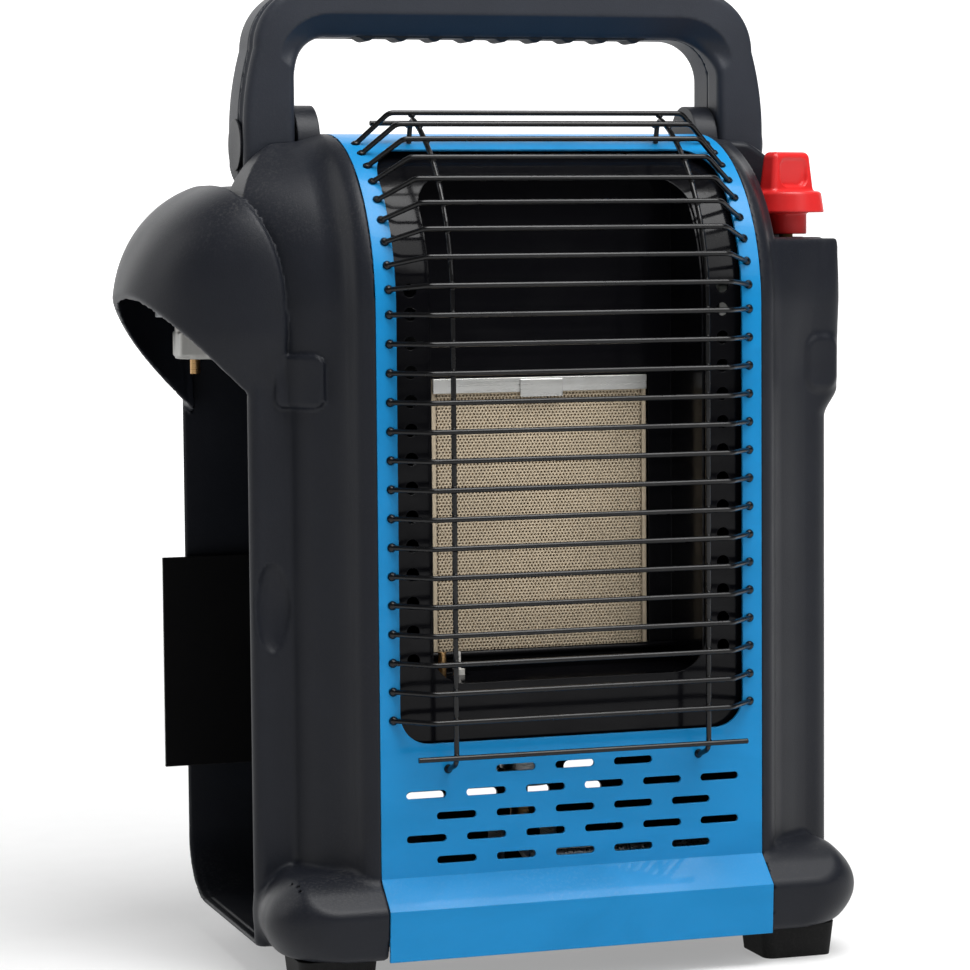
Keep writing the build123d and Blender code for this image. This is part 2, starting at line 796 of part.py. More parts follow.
# ---- handle ---------------------------------------------------------------------------
def handle_outline():
    """Front view of the handle: an arch on two arms that lean in a little."""
    outer = arm_outer
    inner = arm_inner
    top = handle_top
    under = handle_top - bar_height
    inside = arch_inner_radius
    foot = pivot_z - arm_half_depth
    lean_middle = (arm_lean_low + arm_lean_high) / 2
    shoulder = outer - arm_lean
    corner = Vector(shoulder - arch_radius, top - arch_radius)
    bend = corner + Vector(0.74 * arch_radius, 0.72 * arch_radius)
    edges = [
        Line((-outer, foot), (-outer, arm_lean_low)),
        ThreePointArc((-outer, arm_lean_low), (0.3 * arm_lean - outer, lean_middle),
                      (-shoulder, arm_lean_high)),
        ThreePointArc((-shoulder, arm_lean_high), (-bend.X, bend.Y), (-corner.X, top)),
        Line((-corner.X, top), (corner.X, top)),
        ThreePointArc((corner.X, top), (bend.X, bend.Y), (shoulder, arm_lean_high)),
        ThreePointArc((shoulder, arm_lean_high), (outer - 0.3 * arm_lean, lean_middle),
                      (outer, arm_lean_low)),
        Line((outer, arm_lean_low), (outer, foot)),
        Line((outer, foot), (inner, foot)),
        Line((inner, foot), (inner, under - inside)),
        CenterArc((inner - inside, under - inside), inside, 0, 90),
        Line((inner - inside, under), (-inner + inside, under)),
        CenterArc((-inner + inside, under - inside), inside, 90, 90),
        Line((-inner, under - inside), (-inner, foot)),
        Line((-inner, foot), (-outer, foot)),
    ]
    return make_face(Wire(edges))


def handle_arch():
    """Whole handle: bevelled along the arch, round at the pivots, bored for the pins."""
    front = pivot_y - arm_half_depth
    arch = through_y(handle_outline(), front, pivot_y + arm_half_depth)
    arm_height = handle_top - pivot_z + 10
    side = Pos(pivot_y, pivot_z) * Circle(arm_half_depth)
    side += Pos(pivot_y, pivot_z + arm_height / 2) * Rectangle(2 * arm_half_depth, arm_height)
    arch &= through_x(side, -120, 120)
    by_depth = arch.faces().sort_by(Axis.Y)
    long_edges = [edge for face in (by_depth[0], by_depth[-1])
                  for edge in face.edges().filter_by_position(Axis.Z, pivot_z + 20, 400)]
    arch = chamfer(long_edges, 3.0)
    for side in (-1, 1):
        arch -= rod((side * 85, pivot_y, pivot_z), (side * 108, pivot_y, pivot_z),
                    pin_radius + running_fit)
    under = handle_top - bar_height
    bevel = Polygon((front - 1, under + under_bevel + 1), (front - 1, under - 1),
                    (front + under_bevel + 1, under - 1), align=None)
    reach = arm_inner - arch_inner_radius
    arch -= through_x(bevel, -reach, reach)
    return arch - block(-grip_half, grip_half, pivot_y - 5, pivot_y + 9, under - 1, under + 2)


def make_handle():
    arch = handle_arch()
    save("handle_front_shell", arch & block(-150, 150, 0, handle_parting_y, 200, 420))
    rear_shell = arch & block(-150, 150, handle_parting_y, 150, 200, 420)
    back = pivot_y + arm_half_depth
    seat = back - 1.6
    screws = []
    for x, z in ((-101, 352), (101, 352), (-50, 384.6), (50, 384.6)):
        shank = rod((x, back - 10, z), (x, seat, z), screw_radius)
        head = rod((x, seat, z), (x, back - 0.2, z), screw_head_radius - 0.2)
        rear_shell -= shank
        rear_shell -= rod((x, seat, z), (x, back + 1, z), screw_head_radius - 0.1)
        screws.append(shank + head)
    save("handle_rear_shell", rear_shell)
    save("handle_screws", *screws)

    under = handle_top - bar_height
    ribs = []
    grip = block(-grip_half, grip_half, pivot_y - 5, pivot_y + 9, under, under + 2)
    rib_z = under + 1.5
    for index in range(grip_rib_count):
        x = (index - (grip_rib_count - 1) / 2) * grip_rib_pitch
        ribs.append(rod((x, pivot_y - 12, rib_z), (x, pivot_y + 12, rib_z), 3.2)
                    & block(x - 5, x + 5, pivot_y - 4.9, pivot_y + 8.9, 300, rib_z + 0.4))
    save("handle_grip", grip + ribs)
    caps = [rod((side * arm_outer, pivot_y, pivot_z), (side * (arm_outer + 0.8), pivot_y, pivot_z),
                10.5) for side in (-1, 1)]
    save("handle_pivot_caps", *caps)


def make_handle_lugs():
    """Posts beside the top sheet that carry the handle's pins."""
    for name, side in (("left_handle_lug", -1), ("right_handle_lug", 1)):
        post = Rectangle(2 * arm_half_depth, 24)
        tab = Pos(pivot_y, pivot_z) * Circle(arm_half_depth) + Pos(pivot_y, pivot_z - 12) * post
        x0, x1 = sorted((side * lug_inner, side * lug_outer))
        lug = through_x(tab, x0, x1)
        lug -= rod((side * 70, pivot_y, pivot_z), (side * 100, pivot_y, pivot_z), pin_radius)
        save(name, lug)
    pins = [rod((side * (lug_inner + 1), pivot_y, pivot_z), (side * 107.5, pivot_y, pivot_z),
                pin_radius) for side in (-1, 1)]
    save("handle_pivot_pins", *pins)


# ---- gas controls ---------------------------------------------------------------------
def make_valve():
    top = ledge_z - shell_wall - 0.4
    inlet_z = 268.0
    body = block(98, 122, valve_front, valve_back, valve_low, top - 6)
    body += rod((knob_x, knob_y, top - 7), (knob_x, knob_y, top - 0.2), 7.5)
    body += rod((knob_x, valve_back - 2, inlet_z), (knob_x, valve_back + 8, inlet_z), 6)
    body += rod((108, knob_y, valve_low + 2), (108, knob_y, valve_low - 8), 5)
    body -= rod((knob_x, knob_y, 270), (knob_x, knob_y, 300), stem_radius + running_fit)
    save("gas_valve", body)
    stem = rod((knob_x, knob_y, stem_low), (knob_x, knob_y, stem_high), stem_radius)
    stem -= block(knob_x + 1.8, knob_x + 5, knob_y - 5, knob_y + 5, ledge_z, stem_high + 5)
    save("valve_stem", stem)
    save("piezo_igniter", rod((115, valve_back, 256), (115, valve_back + 18, 256), 6))
    bracket = block(86, 98, 40, 56, 256, 258) + block(84.8, 86, 40, 56, 256, 272)
    save("valve_bracket", bracket)


def make_knob():
    low = ledge_z + 1.2
    knob = rod((knob_x, knob_y, low), (knob_x, knob_y, knob_disc_low + 1), knob_skirt_radius)
    knob += Pos(knob_x, knob_y, (knob_disc_low + knob_disc_high) / 2) * Cone(
        knob_radius, knob_radius - 1.6, knob_disc_high - knob_disc_low)
    bar = loft([Pos(0, 0, knob_disc_high - 1) * RectangleRounded(28, 12, 3),
                Pos(0, 0, knob_top) * RectangleRounded(24.5, 9, 3)])
    scoop_z = 319.5
    for side in (-1, 1):
        bar -= rod((0, side * 3.2, scoop_z), (0, side * 13.2, scoop_z), 6)
    knob += Pos(knob_x, knob_y, 0) * Rot(0, 0, knob_turned) * bar
    socket_top = stem_high + knob_travel + 0.8
    knob -= rod((knob_x, knob_y, low - 3), (knob_x, knob_y, socket_top), stem_radius + running_fit)
    save("control_knob", knob)


def make_regulator():
    can_low = 262.0
    can_high = 293.0
    can_radius = 22.0
    socket_radius = 5.0
    x, y = cylinder_x, cylinder_y
    can = rod((x, y, can_low), (x, y, can_high - 4), can_radius)
    can += Pos(x, y, can_high - 2) * Cone(can_radius, can_radius - 5, 4)
    can += rod((x, y + 18, swivel_z), (x, y + 26, swivel_z), socket_radius + 2)
    can -= rod((x, y + 20, swivel_z), (x, y + 27, swivel_z), socket_radius)
    save("regulator_body", can)
    nut = rod((x, y, nut_bottom), (x, y, can_low), nut_radius)
    seal_z = nut_bottom + thread_depth
    nut -= rod((x, y, nut_bottom - 1), (x, y, seal_z), thread_radius)
    nut -= rod((x, y, nut_bottom), (x, y, seal_z + seal_depth), seal_radius)
    nut -= rod((x, y, nut_bottom), (x, y, can_low + 1), pilot_pin_radius)
    save("regulator_nut", nut)
    save("inlet_seal", ring((x, y, seal_z), (x, y, seal_z + seal_depth), seal_radius, 5))
    save("depressor_pin", rod((x, y, seal_z + 0.2), (x, y, can_low), pilot_pin_radius))
    save("regulator_vent_cap", rod((x, y, can_high), (x, y, can_high + 3), 8))
    save("bleed_nipple", rod((x - 2, y + 18.6, 238), (x - 2, y + 18.6, can_low), 2.1))

    union = rod((x, y + 20.6, swivel_z), (x, y + 30, swivel_z), socket_radius - running_fit)
    union += block(x - 7, x + 7, y + 26.6, y + 38, swivel_z - 7, swivel_z + 7)
    save("swivel_union", union)
    save("swivel_mount", block(-121, -112, y + 38, bay_back, swivel_z - 8, swivel_z + 8))


def make_pipes():
    supply_y = cylinder_y + 32
    supply = bent_tube([(cylinder_x + 7, supply_y, swivel_z), (knob_x, supply_y, swivel_z),
                        (knob_x, supply_y, 268), (knob_x, 68, 268)], 4.9, 3.0)
    save("supply_tube", supply)
    throat_y = tile_front + tile_depth + throat_setback
    feed = bent_tube([(108, knob_y, valve_low - 8), (108, knob_y, pipe_z), (108, throat_y, pipe_z),
                      (0, throat_y, pipe_z), (0, throat_y, orifice_low)], 6, 2.4)
    save("burner_tube", feed)
    pilot_x, pilot_y = -52, 31
    across_y = 80
    across_z = 98
    pilot = bent_tube([(103, valve_back, 252), (103, across_y, 252), (103, across_y, across_z),
                       (pilot_x, across_y, across_z), (pilot_x, pilot_y, across_z),
                       (pilot_x, pilot_y, 112)], 6, 1.6)
    save("pilot_tube", pilot)


def make_pilot():
    y = 31
    low = 108
    pilot_x, couple_x, electrode_x = -52, -45, -38
    save("pilot_burner", rod((pilot_x, y, low + 4), (pilot_x, y, low + 15), 3))
    save("thermocouple", rod((couple_x, y, low - 2), (couple_x, y, low + 20), 1.6))
    electrode = rod((electrode_x, y, low - 4), (electrode_x, y, low + 13), 2.4)
    electrode += rod((electrode_x, y, low + 13), (electrode_x, y, low + 20), 0.8)
    save("spark_electrode", electrode)
    plate = block(-56, -34.5, 27.5, 36.5, low, low + 1.2)
    plate += block(-56, -34.5, 36.5, 37.7, low, low + 8)
    for x, radius in ((pilot_x, 1.6), (couple_x, 1.6), (electrode_x, 2.4)):
        plate -= rod((x, y, low - 1), (x, y, low + 3), radius)
    save("pilot_bracket", plate)
    pan_top = base_floor_z + pan_sheet
    save("tip_over_switch", block(-30, -8, 110, 132, pan_top, pan_top + 24))


def make_screws():
    rear = []
    for x, z in rear_screw_places():
        head = rod((x, body_depth, z), (x, body_depth + screw_head_height, z), screw_head_radius)
        rear.append(head + rod((x, body_depth - 8, z), (x, body_depth, z), screw_radius))
    save("rear_cover_screws", *rear)


def export():
    """Move the origin to the middle of the heater's bottom and write every node."""
    os.makedirs("parts", exist_ok=True)
    boxes = [solid.bounding_box() for group in pieces.values() for solid in group]
    left = min(box.min.X for box in boxes)
    right = max(box.max.X for box in boxes)
    front = min(box.min.Y for box in boxes)
    back = max(box.max.Y for box in boxes)
    shift = Pos(-(left + right) / 2, -(front + back) / 2, 0)
    print("moved by", shift.position, "width", right - left, "depth", back - front)
    for name, group in pieces.items():
        moved = [shift * solid for solid in group]
        node = moved[0] if len(moved) == 1 else Compound(children=moved)
        export_step(node, f"parts/{name}.step")


make_front_panel()
make_grille()
make_firebox()
make_burner()
make_right_shell()
make_left_shell()
make_hood()
make_rear_cover()
make_base()
make_bay()
make_handle()
make_handle_lugs()
make_valve()
make_knob()
make_regulator()
make_pipes()
make_pilot()
make_screws()
export()
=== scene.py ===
import bpy
import bmesh
import json
import math
import numpy as np
from mathutils import Matrix, Vector


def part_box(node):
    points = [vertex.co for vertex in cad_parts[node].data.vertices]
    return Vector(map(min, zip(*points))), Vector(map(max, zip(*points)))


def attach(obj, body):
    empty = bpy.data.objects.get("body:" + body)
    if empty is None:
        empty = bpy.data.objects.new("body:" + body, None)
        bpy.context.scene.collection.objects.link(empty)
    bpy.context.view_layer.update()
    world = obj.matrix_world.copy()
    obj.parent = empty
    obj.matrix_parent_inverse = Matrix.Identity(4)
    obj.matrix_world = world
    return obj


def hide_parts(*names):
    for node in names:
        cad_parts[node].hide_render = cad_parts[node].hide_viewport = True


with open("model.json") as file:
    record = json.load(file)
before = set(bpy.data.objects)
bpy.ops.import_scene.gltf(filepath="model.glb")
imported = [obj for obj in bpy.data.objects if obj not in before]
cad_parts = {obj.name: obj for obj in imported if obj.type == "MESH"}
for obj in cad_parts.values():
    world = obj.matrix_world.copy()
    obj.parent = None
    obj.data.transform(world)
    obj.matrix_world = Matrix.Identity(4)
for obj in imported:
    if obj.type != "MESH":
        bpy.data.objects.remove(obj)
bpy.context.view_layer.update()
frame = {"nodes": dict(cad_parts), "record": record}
nodes = frame["nodes"]

# The heater is drawn in millimetres from the middle of its front sheet: X to the right,
# Y to the back, Z up from the floor. place() turns such a point into the shared frame.
TILE_FRONT = 40.0
tile_low, tile_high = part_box("burner_tile")
SHIFT_X = (tile_low.x + tile_high.x) / 2
SHIFT_Y = tile_low.y - TILE_FRONT / 1000


def place(x, y, z):
    """A point in the heater's millimetres, in the shared frame's metres."""
    return Vector((x / 1000 + SHIFT_X, y / 1000 + SHIFT_Y, z / 1000))


# ---- shader node groups ---------------------------------------------------------------
def shader_group(name, inputs, outputs):
    """Empty shader node group with named inputs (name, type, default) and outputs."""
    group = bpy.data.node_groups.new(name, "ShaderNodeTree")
    for label, kind, default in inputs:
        socket = group.interface.new_socket(name=label, in_out="INPUT", socket_type=kind)
        if default is not None:
            socket.default_value = default
    for label, kind in outputs:
        group.interface.new_socket(name=label, in_out="OUTPUT", socket_type=kind)
    source = group.nodes.new("NodeGroupInput")
    sink = group.nodes.new("NodeGroupOutput")
    return group, source, sink


class Wiring:
    """Short calls to add and link the nodes of one tree."""

    def __init__(self, tree):
        self.tree = tree

    def node(self, kind, **settings):
        made = self.tree.nodes.new(kind)
        for name, value in settings.items():
            setattr(made, name, value)
        return made

    def feed(self, socket, value):
        """Link an output into a socket, or set the socket's own value."""
        if isinstance(value, bpy.types.NodeSocket):
            self.tree.links.new(value, socket)
        else:
            socket.default_value = value

    def math(self, operation, a, b=None, clamp=False):
        made = self.node("ShaderNodeMath", operation=operation, use_clamp=clamp)
        self.feed(made.inputs[0], a)
        if b is not None:
            self.feed(made.inputs[1], b)
        return made.outputs[0]

    def span(self, value, low, high, to_low=0.0, to_high=1.0):
        """Map a value from one range to another, clamped."""
        made = self.node("ShaderNodeMapRange", clamp=True)
        for socket, number in zip(made.inputs[:5], (value, low, high, to_low, to_high)):
            self.feed(socket, number)
        return made.outputs[0]

    def noise(self, vector, scale, detail=2.0, roughness=0.5, distortion=0.0):
        made = self.node("ShaderNodeTexNoise")
        self.feed(made.inputs["Vector"], vector)
        self.feed(made.inputs["Scale"], scale)
        self.feed(made.inputs["Detail"], detail)
        self.feed(made.inputs["Roughness"], roughness)
        self.feed(made.inputs["Distortion"], distortion)
        return made.outputs["Fac"]

    def cells(self, vector, scale):
        """Distance to the nearest of a scatter of points."""
        made = self.node("ShaderNodeTexVoronoi")
        self.feed(made.inputs["Vector"], vector)
        self.feed(made.inputs["Scale"], scale)
        return made.outputs["Distance"]

    def stretched(self, vector, scale):
        """Coordinates scaled differently along each axis."""
        made = self.node("ShaderNodeMapping")
        self.feed(made.inputs["Vector"], vector)
        made.inputs["Scale"].default_value = scale
        return made.outputs["Vector"]

    def mix(self, factor, a, b):
        made = self.node("ShaderNodeMix", data_type="RGBA")
        self.feed(made.inputs["Factor"], factor)
        self.feed(made.inputs["A"], a)
        self.feed(made.inputs["B"], b)
        return made.outputs["Result"]

    def bump(self, height, strength, distance, normal=None):
        made = self.node("ShaderNodeBump")
        self.feed(made.inputs["Height"], height)
        self.feed(made.inputs["Strength"], strength)
        self.feed(made.inputs["Distance"], distance)
        if normal is not None:
            self.feed(made.inputs["Normal"], normal)
        return made.outputs["Normal"]


def worn_edge_group():
    """Mask of convex edges, broken up by noise, and the rounded normal behind it."""
    group, source, sink = shader_group(
        "Worn edges",
        [("Coordinates", "NodeSocketVector", None), ("Width", "NodeSocketFloat", 0.0008),
         ("Break-up", "NodeSocketFloat", 220.0)],
        [("Mask", "NodeSocketFloat"), ("Normal", "NodeSocketVector")])
    w = Wiring(group)
    bevel = w.node("ShaderNodeBevel", samples=4)
    w.feed(bevel.inputs["Radius"], source.outputs["Width"])
    flat = w.node("ShaderNodeNewGeometry")
    dot = w.node("ShaderNodeVectorMath", operation="DOT_PRODUCT")
    w.feed(dot.inputs[0], bevel.outputs["Normal"])
    w.feed(dot.inputs[1], flat.outputs["Normal"])
    edge = w.span(dot.outputs["Value"], 0.995, 0.80)
    patch = w.noise(source.outputs["Coordinates"], source.outputs["Break-up"], 4.0, 0.65)
    patch = w.span(patch, 0.45, 0.62)
    w.feed(sink.inputs["Mask"], w.math("MULTIPLY", edge, patch, clamp=True))
    w.feed(sink.inputs["Normal"], bevel.outputs["Normal"])
    return group


def dust_group():
    """Fine dust that settles on what faces up, and in patches elsewhere."""
    group, source, sink = shader_group(
        "Settled dust",
        [("Coordinates", "NodeSocketVector", None), ("Amount", "NodeSocketFloat", 0.3)],
        [("Mask", "NodeSocketFloat")])
    w = Wiring(group)
    coordinate = w.node("ShaderNodeTexCoord")
    axis = w.node("ShaderNodeSeparateXYZ")
    w.feed(axis.inputs[0], coordinate.outputs["Normal"])
    up = w.span(axis.outputs["Z"], 0.1, 1.0, 0.12, 1.0)
    speck = w.noise(source.outputs["Coordinates"], 900.0, 3.0, 0.7)
    drift = w.noise(source.outputs["Coordinates"], 28.0, 3.0, 0.6)
    cover = w.math("MULTIPLY", w.span(speck, 0.48, 0.72), w.span(drift, 0.35, 0.7))
    cover = w.math("MULTIPLY", cover, up)
    w.feed(sink.inputs["Mask"], w.math("MULTIPLY", cover, source.outputs["Amount"], clamp=True))
    return group


def grain_group():
    """Spark-eroded mould grain: height, and a matching change of gloss and tint."""
    group, source, sink = shader_group(
        "Mould grain",
        [("Coordinates", "NodeSocketVector", None), ("Size", "NodeSocketFloat", 1400.0)],
        [("Height", "NodeSocketFloat"), ("Gloss", "NodeSocketFloat"), ("Tint", "NodeSocketFloat")])
    w = Wiring(group)
    size = source.outputs["Size"]
    pits = w.cells(source.outputs["Coordinates"], size)
    fine = w.noise(source.outputs["Coordinates"], w.math("MULTIPLY", size, 1.7), 2.0, 0.6)
    w.feed(sink.inputs["Height"], w.math("ADD", w.math("MULTIPLY", pits, 0.7), fine))
    drift = w.noise(source.outputs["Coordinates"], 14.0, 4.0, 0.55)
    w.feed(sink.inputs["Gloss"], w.span(drift, 0.3, 0.7))
    w.feed(sink.inputs["Tint"], w.noise(source.outputs["Coordinates"], 45.0, 5.0, 0.6))
    return group


def peel_group():
    """Slow ripple of sprayed or fused enamel, with a few sunk specks."""
    group, source, sink = shader_group(
        "Orange peel",
        [("Coordinates", "NodeSocketVector", None), ("Size", "NodeSocketFloat", 320.0)],
        [("Height", "NodeSocketFloat"), ("Smudge", "NodeSocketFloat")])
    w = Wiring(group)
    ripple = w.noise(source.outputs["Coordinates"], source.outputs["Size"], 2.0, 0.45, 0.3)
    speck = w.cells(source.outputs["Coordinates"], 260.0)
    speck = w.span(speck, 0.0, 0.09, -0.5, 0.0)
    w.feed(sink.inputs["Height"], w.math("ADD", ripple, speck))
    smear = w.noise(w.stretched(source.outputs["Coordinates"], (18.0, 18.0, 42.0)), 1.0, 4.0, 0.6, 0.8)
    w.feed(sink.inputs["Smudge"], w.span(smear, 0.42, 0.68))
    return group


def brushed_group():
    """Fine lines of rolled or drawn metal along one axis."""
    group, source, sink = shader_group(
        "Rolled grain",
        [("Coordinates", "NodeSocketVector", None), ("Stretch", "NodeSocketVector", (40.0, 40.0, 2600.0))],
        [("Lines", "NodeSocketFloat"), ("Blotch", "NodeSocketFloat")])
    w = Wiring(group)
    product = w.node("ShaderNodeVectorMath", operation="MULTIPLY")
    w.feed(product.inputs[0], source.outputs["Coordinates"])
    w.feed(product.inputs[1], source.outputs["Stretch"])
    w.feed(sink.inputs["Lines"], w.noise(product.outputs[0], 1.0, 3.0, 0.6))
    w.feed(sink.inputs["Blotch"], w.noise(source.outputs["Coordinates"], 60.0, 4.0, 0.6, 0.4))
    return group


WORN = worn_edge_group()
DUST = dust_group()
GRAIN = grain_group()
PEEL = peel_group()
ROLLED = brushed_group()


# ---- finishes -------------------------------------------------------------------------
class Finish(Wiring):
    """A material with its Principled shader and object coordinates at hand."""

    def __init__(self, name, **sockets):
        self.material = bpy.data.materials.new(name)
        self.material.use_nodes = True
        super().__init__(self.material.node_tree)
        self.shader = self.tree.nodes["Principled BSDF"]
        self.at = self.node("ShaderNodeTexCoord").outputs["Object"]
        for label, value in sockets.items():
            self.shader.inputs[label.replace("_", " ")].default_value = value

    def effect(self, group, **inputs):
        made = self.node("ShaderNodeGroup", node_tree=group)
        self.feed(made.inputs["Coordinates"], self.at)
        for label, value in inputs.items():
            made.inputs[label.replace("_", " ")].default_value = value
        return made.outputs

    def into(self, **sockets):
        for label, value in sockets.items():
            self.feed(self.shader.inputs[label.replace("_", " ")], value)
        return self.material


def moulded(name, colour, rough, grain_size=1400.0, grain_depth=0.00006, wear=0.35, dust=0.3,
            pale=(0.16, 0.17, 0.18, 1.0), specular=0.2):
    """Moulded plastic or rubber with spark-eroded grain, scuffed edges and dust."""
    f = Finish(name, Specular_IOR_Level=specular, IOR=1.5)
    grain = f.effect(GRAIN, Size=grain_size)
    worn = f.effect(WORN, Width=0.0009)
    dusty = f.effect(DUST, Amount=dust)
    darker = tuple(c * 0.8 for c in colour[:3]) + (1.0,)
    lighter = tuple(min(c * 1.22, 1.0) for c in colour[:3]) + (1.0,)
    base = f.mix(grain["Tint"], darker, lighter)
    base = f.mix(f.math("MULTIPLY", worn["Mask"], wear), base, pale)
    base = f.mix(dusty["Mask"], base, (0.34, 0.33, 0.31, 1.0))
    gloss = f.span(grain["Gloss"], 0.0, 1.0, rough - 0.05, rough + 0.06)
    gloss = f.math("ADD", gloss, f.math("MULTIPLY", dusty["Mask"], 0.3), clamp=True)
    normal = f.bump(grain["Height"], 0.55, grain_depth, worn["Normal"])
    return f.into(Base_Color=base, Roughness=gloss, Normal=normal)


def enamel(name, colour, rough, coat, wear_colour, wear=0.5, dust=0.12, specular=0.15,
           peel=0.00003, peel_size=320.0):
    """Baked paint or vitreous enamel on steel."""
    f = Finish(name, Coat_Roughness=0.06, Coat_IOR=1.5, IOR=1.5, Specular_IOR_Level=specular)
    peeled = f.effect(PEEL, Size=peel_size)
    worn = f.effect(WORN, Width=0.0006)
    dusty = f.effect(DUST, Amount=dust)
    darker = tuple(c * 0.90 for c in colour[:3]) + (1.0,)
    base = f.mix(peeled["Smudge"], colour, darker)
    base = f.mix(f.math("MULTIPLY", worn["Mask"], wear), base, wear_colour)
    base = f.mix(dusty["Mask"], base, (0.42, 0.41, 0.39, 1.0))
    gloss = f.span(peeled["Smudge"], 0.0, 1.0, rough, rough + 0.12)
    clear = f.span(peeled["Smudge"], 0.0, 1.0, coat, coat * 0.6)
    normal = f.bump(peeled["Height"], 0.5, peel, worn["Normal"])
    return f.into(Base_Color=base, Roughness=gloss, Coat_Weight=clear, Normal=normal)


def metal(name, colour, rough, stretch=(40.0, 40.0, 2600.0), depth=0.00002,
          stain=(0.3, 0.26, 0.22, 1.0)):
    """Bare metal with rolled or drawn lines and slight staining."""
    f = Finish(name)
    lines = f.effect(ROLLED, Stretch=stretch)
    worn = f.effect(WORN, Width=0.0004)
    base = f.mix(f.math("MULTIPLY", f.span(lines["Blotch"], 0.5, 0.75), 0.25), colour, stain)
    bright = tuple(min(c * 1.25, 1.0) for c in colour[:3]) + (1.0,)
    base = f.mix(f.math("MULTIPLY", worn["Mask"], 0.5), base, bright)
    gloss = f.span(lines["Lines"], 0.3, 0.7, rough - 0.08, rough + 0.12)
    solid = f.span(lines["Blotch"], 0.3, 0.9, 1.0, 0.9)
    normal = f.bump(lines["Lines"], 0.4, depth, worn["Normal"])
    return f.into(Base_Color=base, Roughness=gloss, Metallic=solid, Normal=normal)


def porous(name, colour, rough, size=700.0, depth=0.0001):
    """Fired or pressed mineral with open pores."""
    f = Finish(name, Specular_IOR_Level=0.25)
    grain = f.effect(GRAIN, Size=size)
    darker = tuple(c * 0.72 for c in colour[:3]) + (1.0,)
    base = f.mix(grain["Tint"], darker, colour)
    gloss = f.span(grain["Gloss"], 0.0, 1.0, rough - 0.06, min(rough + 0.06, 1.0))
    return f.into(Base_Color=base, Roughness=gloss, Normal=f.bump(grain["Height"], 0.7, depth))


FINISHES = {
    "blue_enamel": enamel("Blue enamel", (0.004, 0.215, 0.50, 1.0), 0.34, coat=0.12,
                          wear_colour=(0.08, 0.38, 0.70, 1.0)),
    "charcoal_plastic": moulded("Charcoal plastic", (0.0085, 0.0098, 0.0140, 1.0), 0.42, wear=0.2,
                                dust=0.12),
    "black_plastic": moulded("Black plastic", (0.012, 0.012, 0.013, 1.0), 0.5, 1800.0),
    "black_steel": enamel("Black painted steel", (0.004, 0.004, 0.0045, 1.0), 0.5, coat=0.02,
                          wear_colour=(0.1, 0.1, 0.1, 1.0), wear=0.4, dust=0.03, specular=0.08),
    "black_enamel": enamel("Black vitreous enamel", (0.003, 0.003, 0.004, 1.0), 0.12, peel=0.00005,
                           peel_size=200.0, coat=0.08, wear_colour=(0.02, 0.02, 0.02, 1.0), dust=0.02,
                           specular=0.08),
    "black_wire": enamel("Black coated wire", (0.0025, 0.0025, 0.003, 1.0), 0.22, coat=0.15,
                         wear_colour=(0.03, 0.03, 0.03, 1.0), wear=0.2, dust=0.02, specular=0.25),
    "bright_steel": metal("Zinc-plated steel", (0.62, 0.62, 0.60, 1.0), 0.32),
    "cast_zinc": metal("Cast zinc", (0.22, 0.23, 0.24, 1.0), 0.5, (900.0, 900.0, 900.0), 0.00006),
    "aluminium_tube": metal("Drawn aluminium", (0.75, 0.75, 0.76, 1.0), 0.30, (1200.0, 1200.0, 60.0)),
    "brass": metal("Turned brass", (0.50, 0.31, 0.14, 1.0), 0.32, (80.0, 80.0, 3000.0),
                   stain=(0.35, 0.2, 0.07, 1.0)),
    "ceramic_tile": porous("Burner ceramic", (0.66, 0.55, 0.40, 1.0), 0.85),
    "white_ceramic": porous("White ceramic", (0.82, 0.80, 0.76, 1.0), 0.35, 1500.0, 0.00002),
    "gasket_fibre": porous("Gasket fibre", (0.70, 0.67, 0.60, 1.0), 0.9, 500.0),
    "rubber": moulded("Moulded rubber", (0.007, 0.007, 0.007, 1.0), 0.72, 900.0, wear=0.15),
    "soft_grip": moulded("Soft grip", (0.013, 0.014, 0.016, 1.0), 0.62, 1000.0, wear=0.2),
    "red_plastic": moulded("Red plastic", (0.56, 0.016, 0.016, 1.0), 0.36, 2200.0, 0.00002,
                           wear=0.25, dust=0.1, pale=(0.80, 0.24, 0.20, 1.0), specular=0.35),
}

for part in frame["record"]["subparts"]:
    node = nodes[part["node"]]
    node.data.materials.clear()
    node.data.materials.append(FINISHES[part["material_slot"]])


# ---- solid fields: rounded joins and cuts of signed distances, in millimetres ---------
# A field is negative inside its solid. The height over a slanted face, times the cosine of
# its slope, is the distance to it. ax is the distance to the left or right of the middle.
def meet(a, b, radius=0.0):
    """What two solids share, the edge between them rounded."""
    u, v = np.maximum(a + radius, 0.0), np.maximum(b + radius, 0.0)
    return np.minimum(-radius, np.maximum(a, b)) + np.hypot(u, v)


def join(a, b, radius=0.0):
    """Two solids together, with a fillet between them."""
    return -meet(-a, -b, radius)


def carve(a, b, radius=0.0):
    """The first solid without the second."""
    return meet(a, -b, radius)


def ramp(value, low, high):
    """Smooth step from 0 to 1."""
    t = np.clip((value - low) / (high - low), 0.0, 1.0)
    return t * t * (3 - 2 * t)


def cuboid(x, y, z, low, high, radius=0.0):
    """Box between two corners, its edges rounded."""
    sides = [np.abs(value - (a + b) / 2) - (b - a) / 2
             for value, a, b in zip((x, y, z), low, high)]
    return meet(meet(sides[0], sides[1], radius), sides[2], radius)


def ball(x, y, z, centre, radii):
    """Ellipsoid, near enough a distance close to its surface."""
    px, py, pz = ((value - c) / r for value, c, r in zip((x, y, z), centre, radii))
    qx, qy, qz = (p / r for p, r in zip((px, py, pz), radii))
    near = np.sqrt(px * px + py * py + pz * pz) + 1e-9
    return near * (near - 1.0) / (np.sqrt(qx * qx + qy * qy + qz * qz) + 1e-9)


